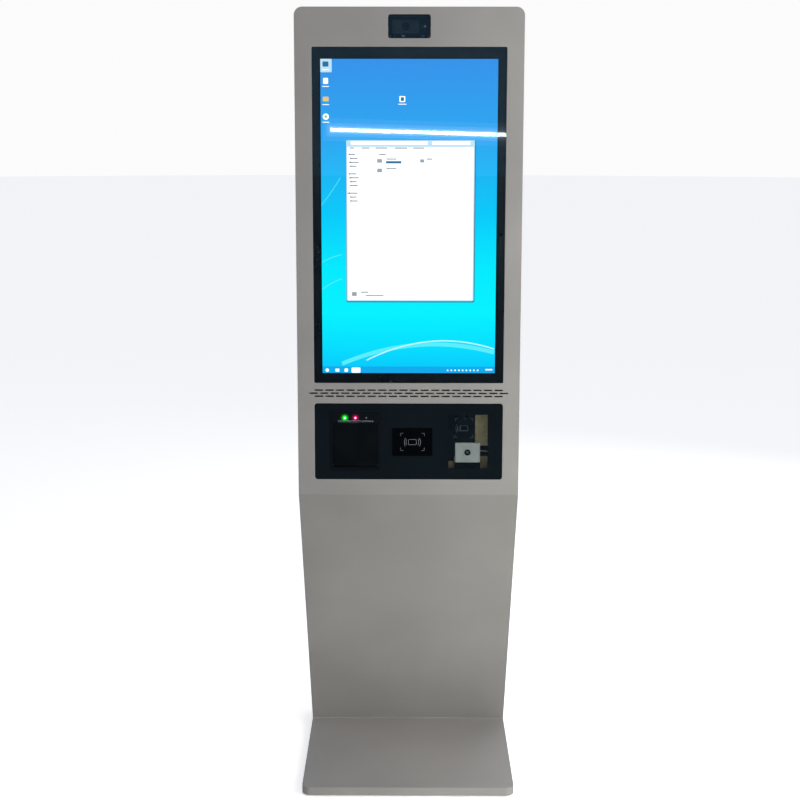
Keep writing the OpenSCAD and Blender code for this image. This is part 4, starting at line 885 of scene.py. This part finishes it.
# Rear door ------------------------------------------------------------------------------------
# A lift of the same coated steel on three knuckle hinges, with two banks of pressed louvres and a
# cam lock turned from bright steel.
door_lo, door_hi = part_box("rear_door")
door_mid = (door_lo.z + door_hi.z) / 2
banks = np.array([(side * 75 * mm,
                   door_mid + k * ((door_hi.z - door_lo.z) / 2 - 150 * mm) + (i - 5.5) * 10 * mm)
                  for side in (-1, 1) for k in (-1, 1) for i in range(12)])
u = np.linspace(-1, 1, 15)[None, :, None]
v = np.linspace(0, 1, 6)[None, None, :]
swell = 2.8 * mm * (1 - np.abs(u) ** 10) * np.sin(v * math.pi / 2)
hood_x = banks[:, 0, None, None] + u * 57 * mm + 0 * v
hood_y = door_hi.y + 0.85 * mm + swell + 0 * hood_x
hood_z = banks[:, 1, None, None] + (3.0 - 5.2 * v) * mm + 0 * u
hoods = np.stack([hood_x, hood_y, hood_z], -1)
one_hood = grid_faces(15, 6)
hood_faces = (one_hood[None] + (np.arange(len(banks)) * 90)[:, None, None]).reshape(-1, 4)
louvres = piece("door_louvres", hoods, hood_faces, steel, 50, closed=False)
if louvres.data.polygons[7].normal.y < 0:
    louvres.data.flip_normals()
thicken(louvres, 0.8)
settle(louvres, "rear_door", "painted_steel")

# Fan ------------------------------------------------------------------------------------------
# An 80 mm axial fan moulded in black glass-filled nylon: seven cambered blades round a hub.
fan_lo, fan_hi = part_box("fan_rotor")
fan_at = (fan_lo + fan_hi) / 2
# Glass-filled nylon: dark grey and slightly cloudy
nylon = finish("glass_filled_nylon", "#14171a", "#1c2024", 0.48, 0.8, 0.02, patch_mm=14)
hub_mm = 17
deep_mm = (fan_hi.y - fan_lo.y) / mm
# The hub is blind: its bore takes the frame's stub axle and stops half a millimetre short of the back
turned("fan_hub",
       [(0, deep_mm / 2 - 0.5), (2.15, deep_mm / 2 - 0.5), (2.15, -deep_mm / 2 + 0.2),
        (hub_mm - 1.5, -deep_mm / 2), (hub_mm, -deep_mm / 2 + 1.5), (hub_mm, deep_mm / 2 - 2),
        (hub_mm - 2, deep_mm / 2), (0, deep_mm / 2)],
       tuple(fan_at), nylon, "fan_rotor", "black_plastic", "fan_rotor")
span = np.linspace(hub_mm - 0.6, 36.6, 9)[None, :, None]
chord = np.linspace(-1, 1, 9)[None, None, :]
root = (np.arange(7) * 2 * math.pi / 7)[:, None, None]
blade_turn = root + chord * 0.34 + 0.004 * (span - hub_mm)
pitch = deep_mm / 2 - 1.4 - 0.09 * (span - hub_mm)
blade_y = -chord * pitch + 1.6 * (1 - chord ** 2) + 0 * root
blades = np.stack([fan_at.x + span * np.cos(blade_turn) * mm, fan_at.y + blade_y * mm + 0 * blade_turn,
                   fan_at.z + span * np.sin(blade_turn) * mm], -1)
blade_faces = (grid_faces(9, 9)[None] + (np.arange(7) * 81)[:, None, None]).reshape(-1, 4)
fan_blades = piece("fan_blades", blades, blade_faces, nylon, 60, closed=False)
blade_skin = fan_blades.modifiers.new("thickness", "SOLIDIFY")
blade_skin.thickness = 1.1 * mm
blade_skin.offset = 0
settle(fan_blades, "fan_rotor", "black_plastic")

# Electronics ----------------------------------------------------------------------------------
# A finned fanless computer, a switched power supply in perforated sheet, their leads, and the mains and
# network sockets in the rear panel.
# Black anodised extrusion: dark satin metal
anodised = finish("black_anodised_fins", "#1d2023", "#282c30", 0.36, 0.8, 0.006, patch_mm=40, Metallic=0.7)
# Galvanised sheet: pale, with a small spangle
supply_sheet = finish("galvanised_sheet", "#8b8f92", "#b4b8ba", 0.32, 1.0, 0.006, patch_mm=7, Metallic=0.6)
# Black PVC sheath: smooth and near black
sheath = finish("black_pvc_sheath", "#0e0e0f", "#171718", 0.5, 0.7, 0.01, patch_mm=20)
# Nickel plate: warm bright metal with soft cloudy patches
socket_plate = finish("nickel_plated_socket", "#90948f", "#a9ada8", 0.28, 0.7, 0.004, patch_mm=6,
                      Metallic=1.0)
# Moulded nylon: an even red with a soft gloss
rocker_red = finish("red_moulded_nylon", "#8e1417", "#a31a1d", 0.3, 0.5, 0.006, patch_mm=12)
dress(anodised, "computer")
dress(supply_sheet, "power_supply")
dress(sheath, "wiring")
dress(socket_plate, "network_socket")
dress(rocker_red, "rocker_switch")
soften(["computer", "power_supply", "network_socket", "rocker_switch"], 0.5)
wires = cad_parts["wiring"]
wires.modifiers.new("weld", "WELD").merge_threshold = 1e-5
wires.data.shade_smooth()
supply_lo, supply_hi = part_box("power_supply")
terminal_z = supply_hi.z - 7 * mm
# Turned brass: yellow and bright
brass = finish("brass_terminal_screws", "#9c8748", "#b7a25c", 0.3, 0.4, 0.004, Metallic=1.0)
block("supply_terminals", supply_lo.x + 20 * mm, supply_hi.x - 20 * mm, supply_hi.y - 11.9 * mm,
      supply_hi.y - 4 * mm, supply_hi.z - 13 * mm, supply_hi.z - mm, 0.6, moulded, "black_plastic")
for i in range(9):
    turned(f"terminal_screw_{i + 1}", [(0, 1.2), (2.6, 1.0), (3.0, 0.4), (3.0, -1.0), (0, -1.0)],
           (supply_lo.x + (32 + 12 * i) * mm, supply_hi.y - 4 * mm, terminal_z), brass, "cabinet",
           "bare_steel", count=16)
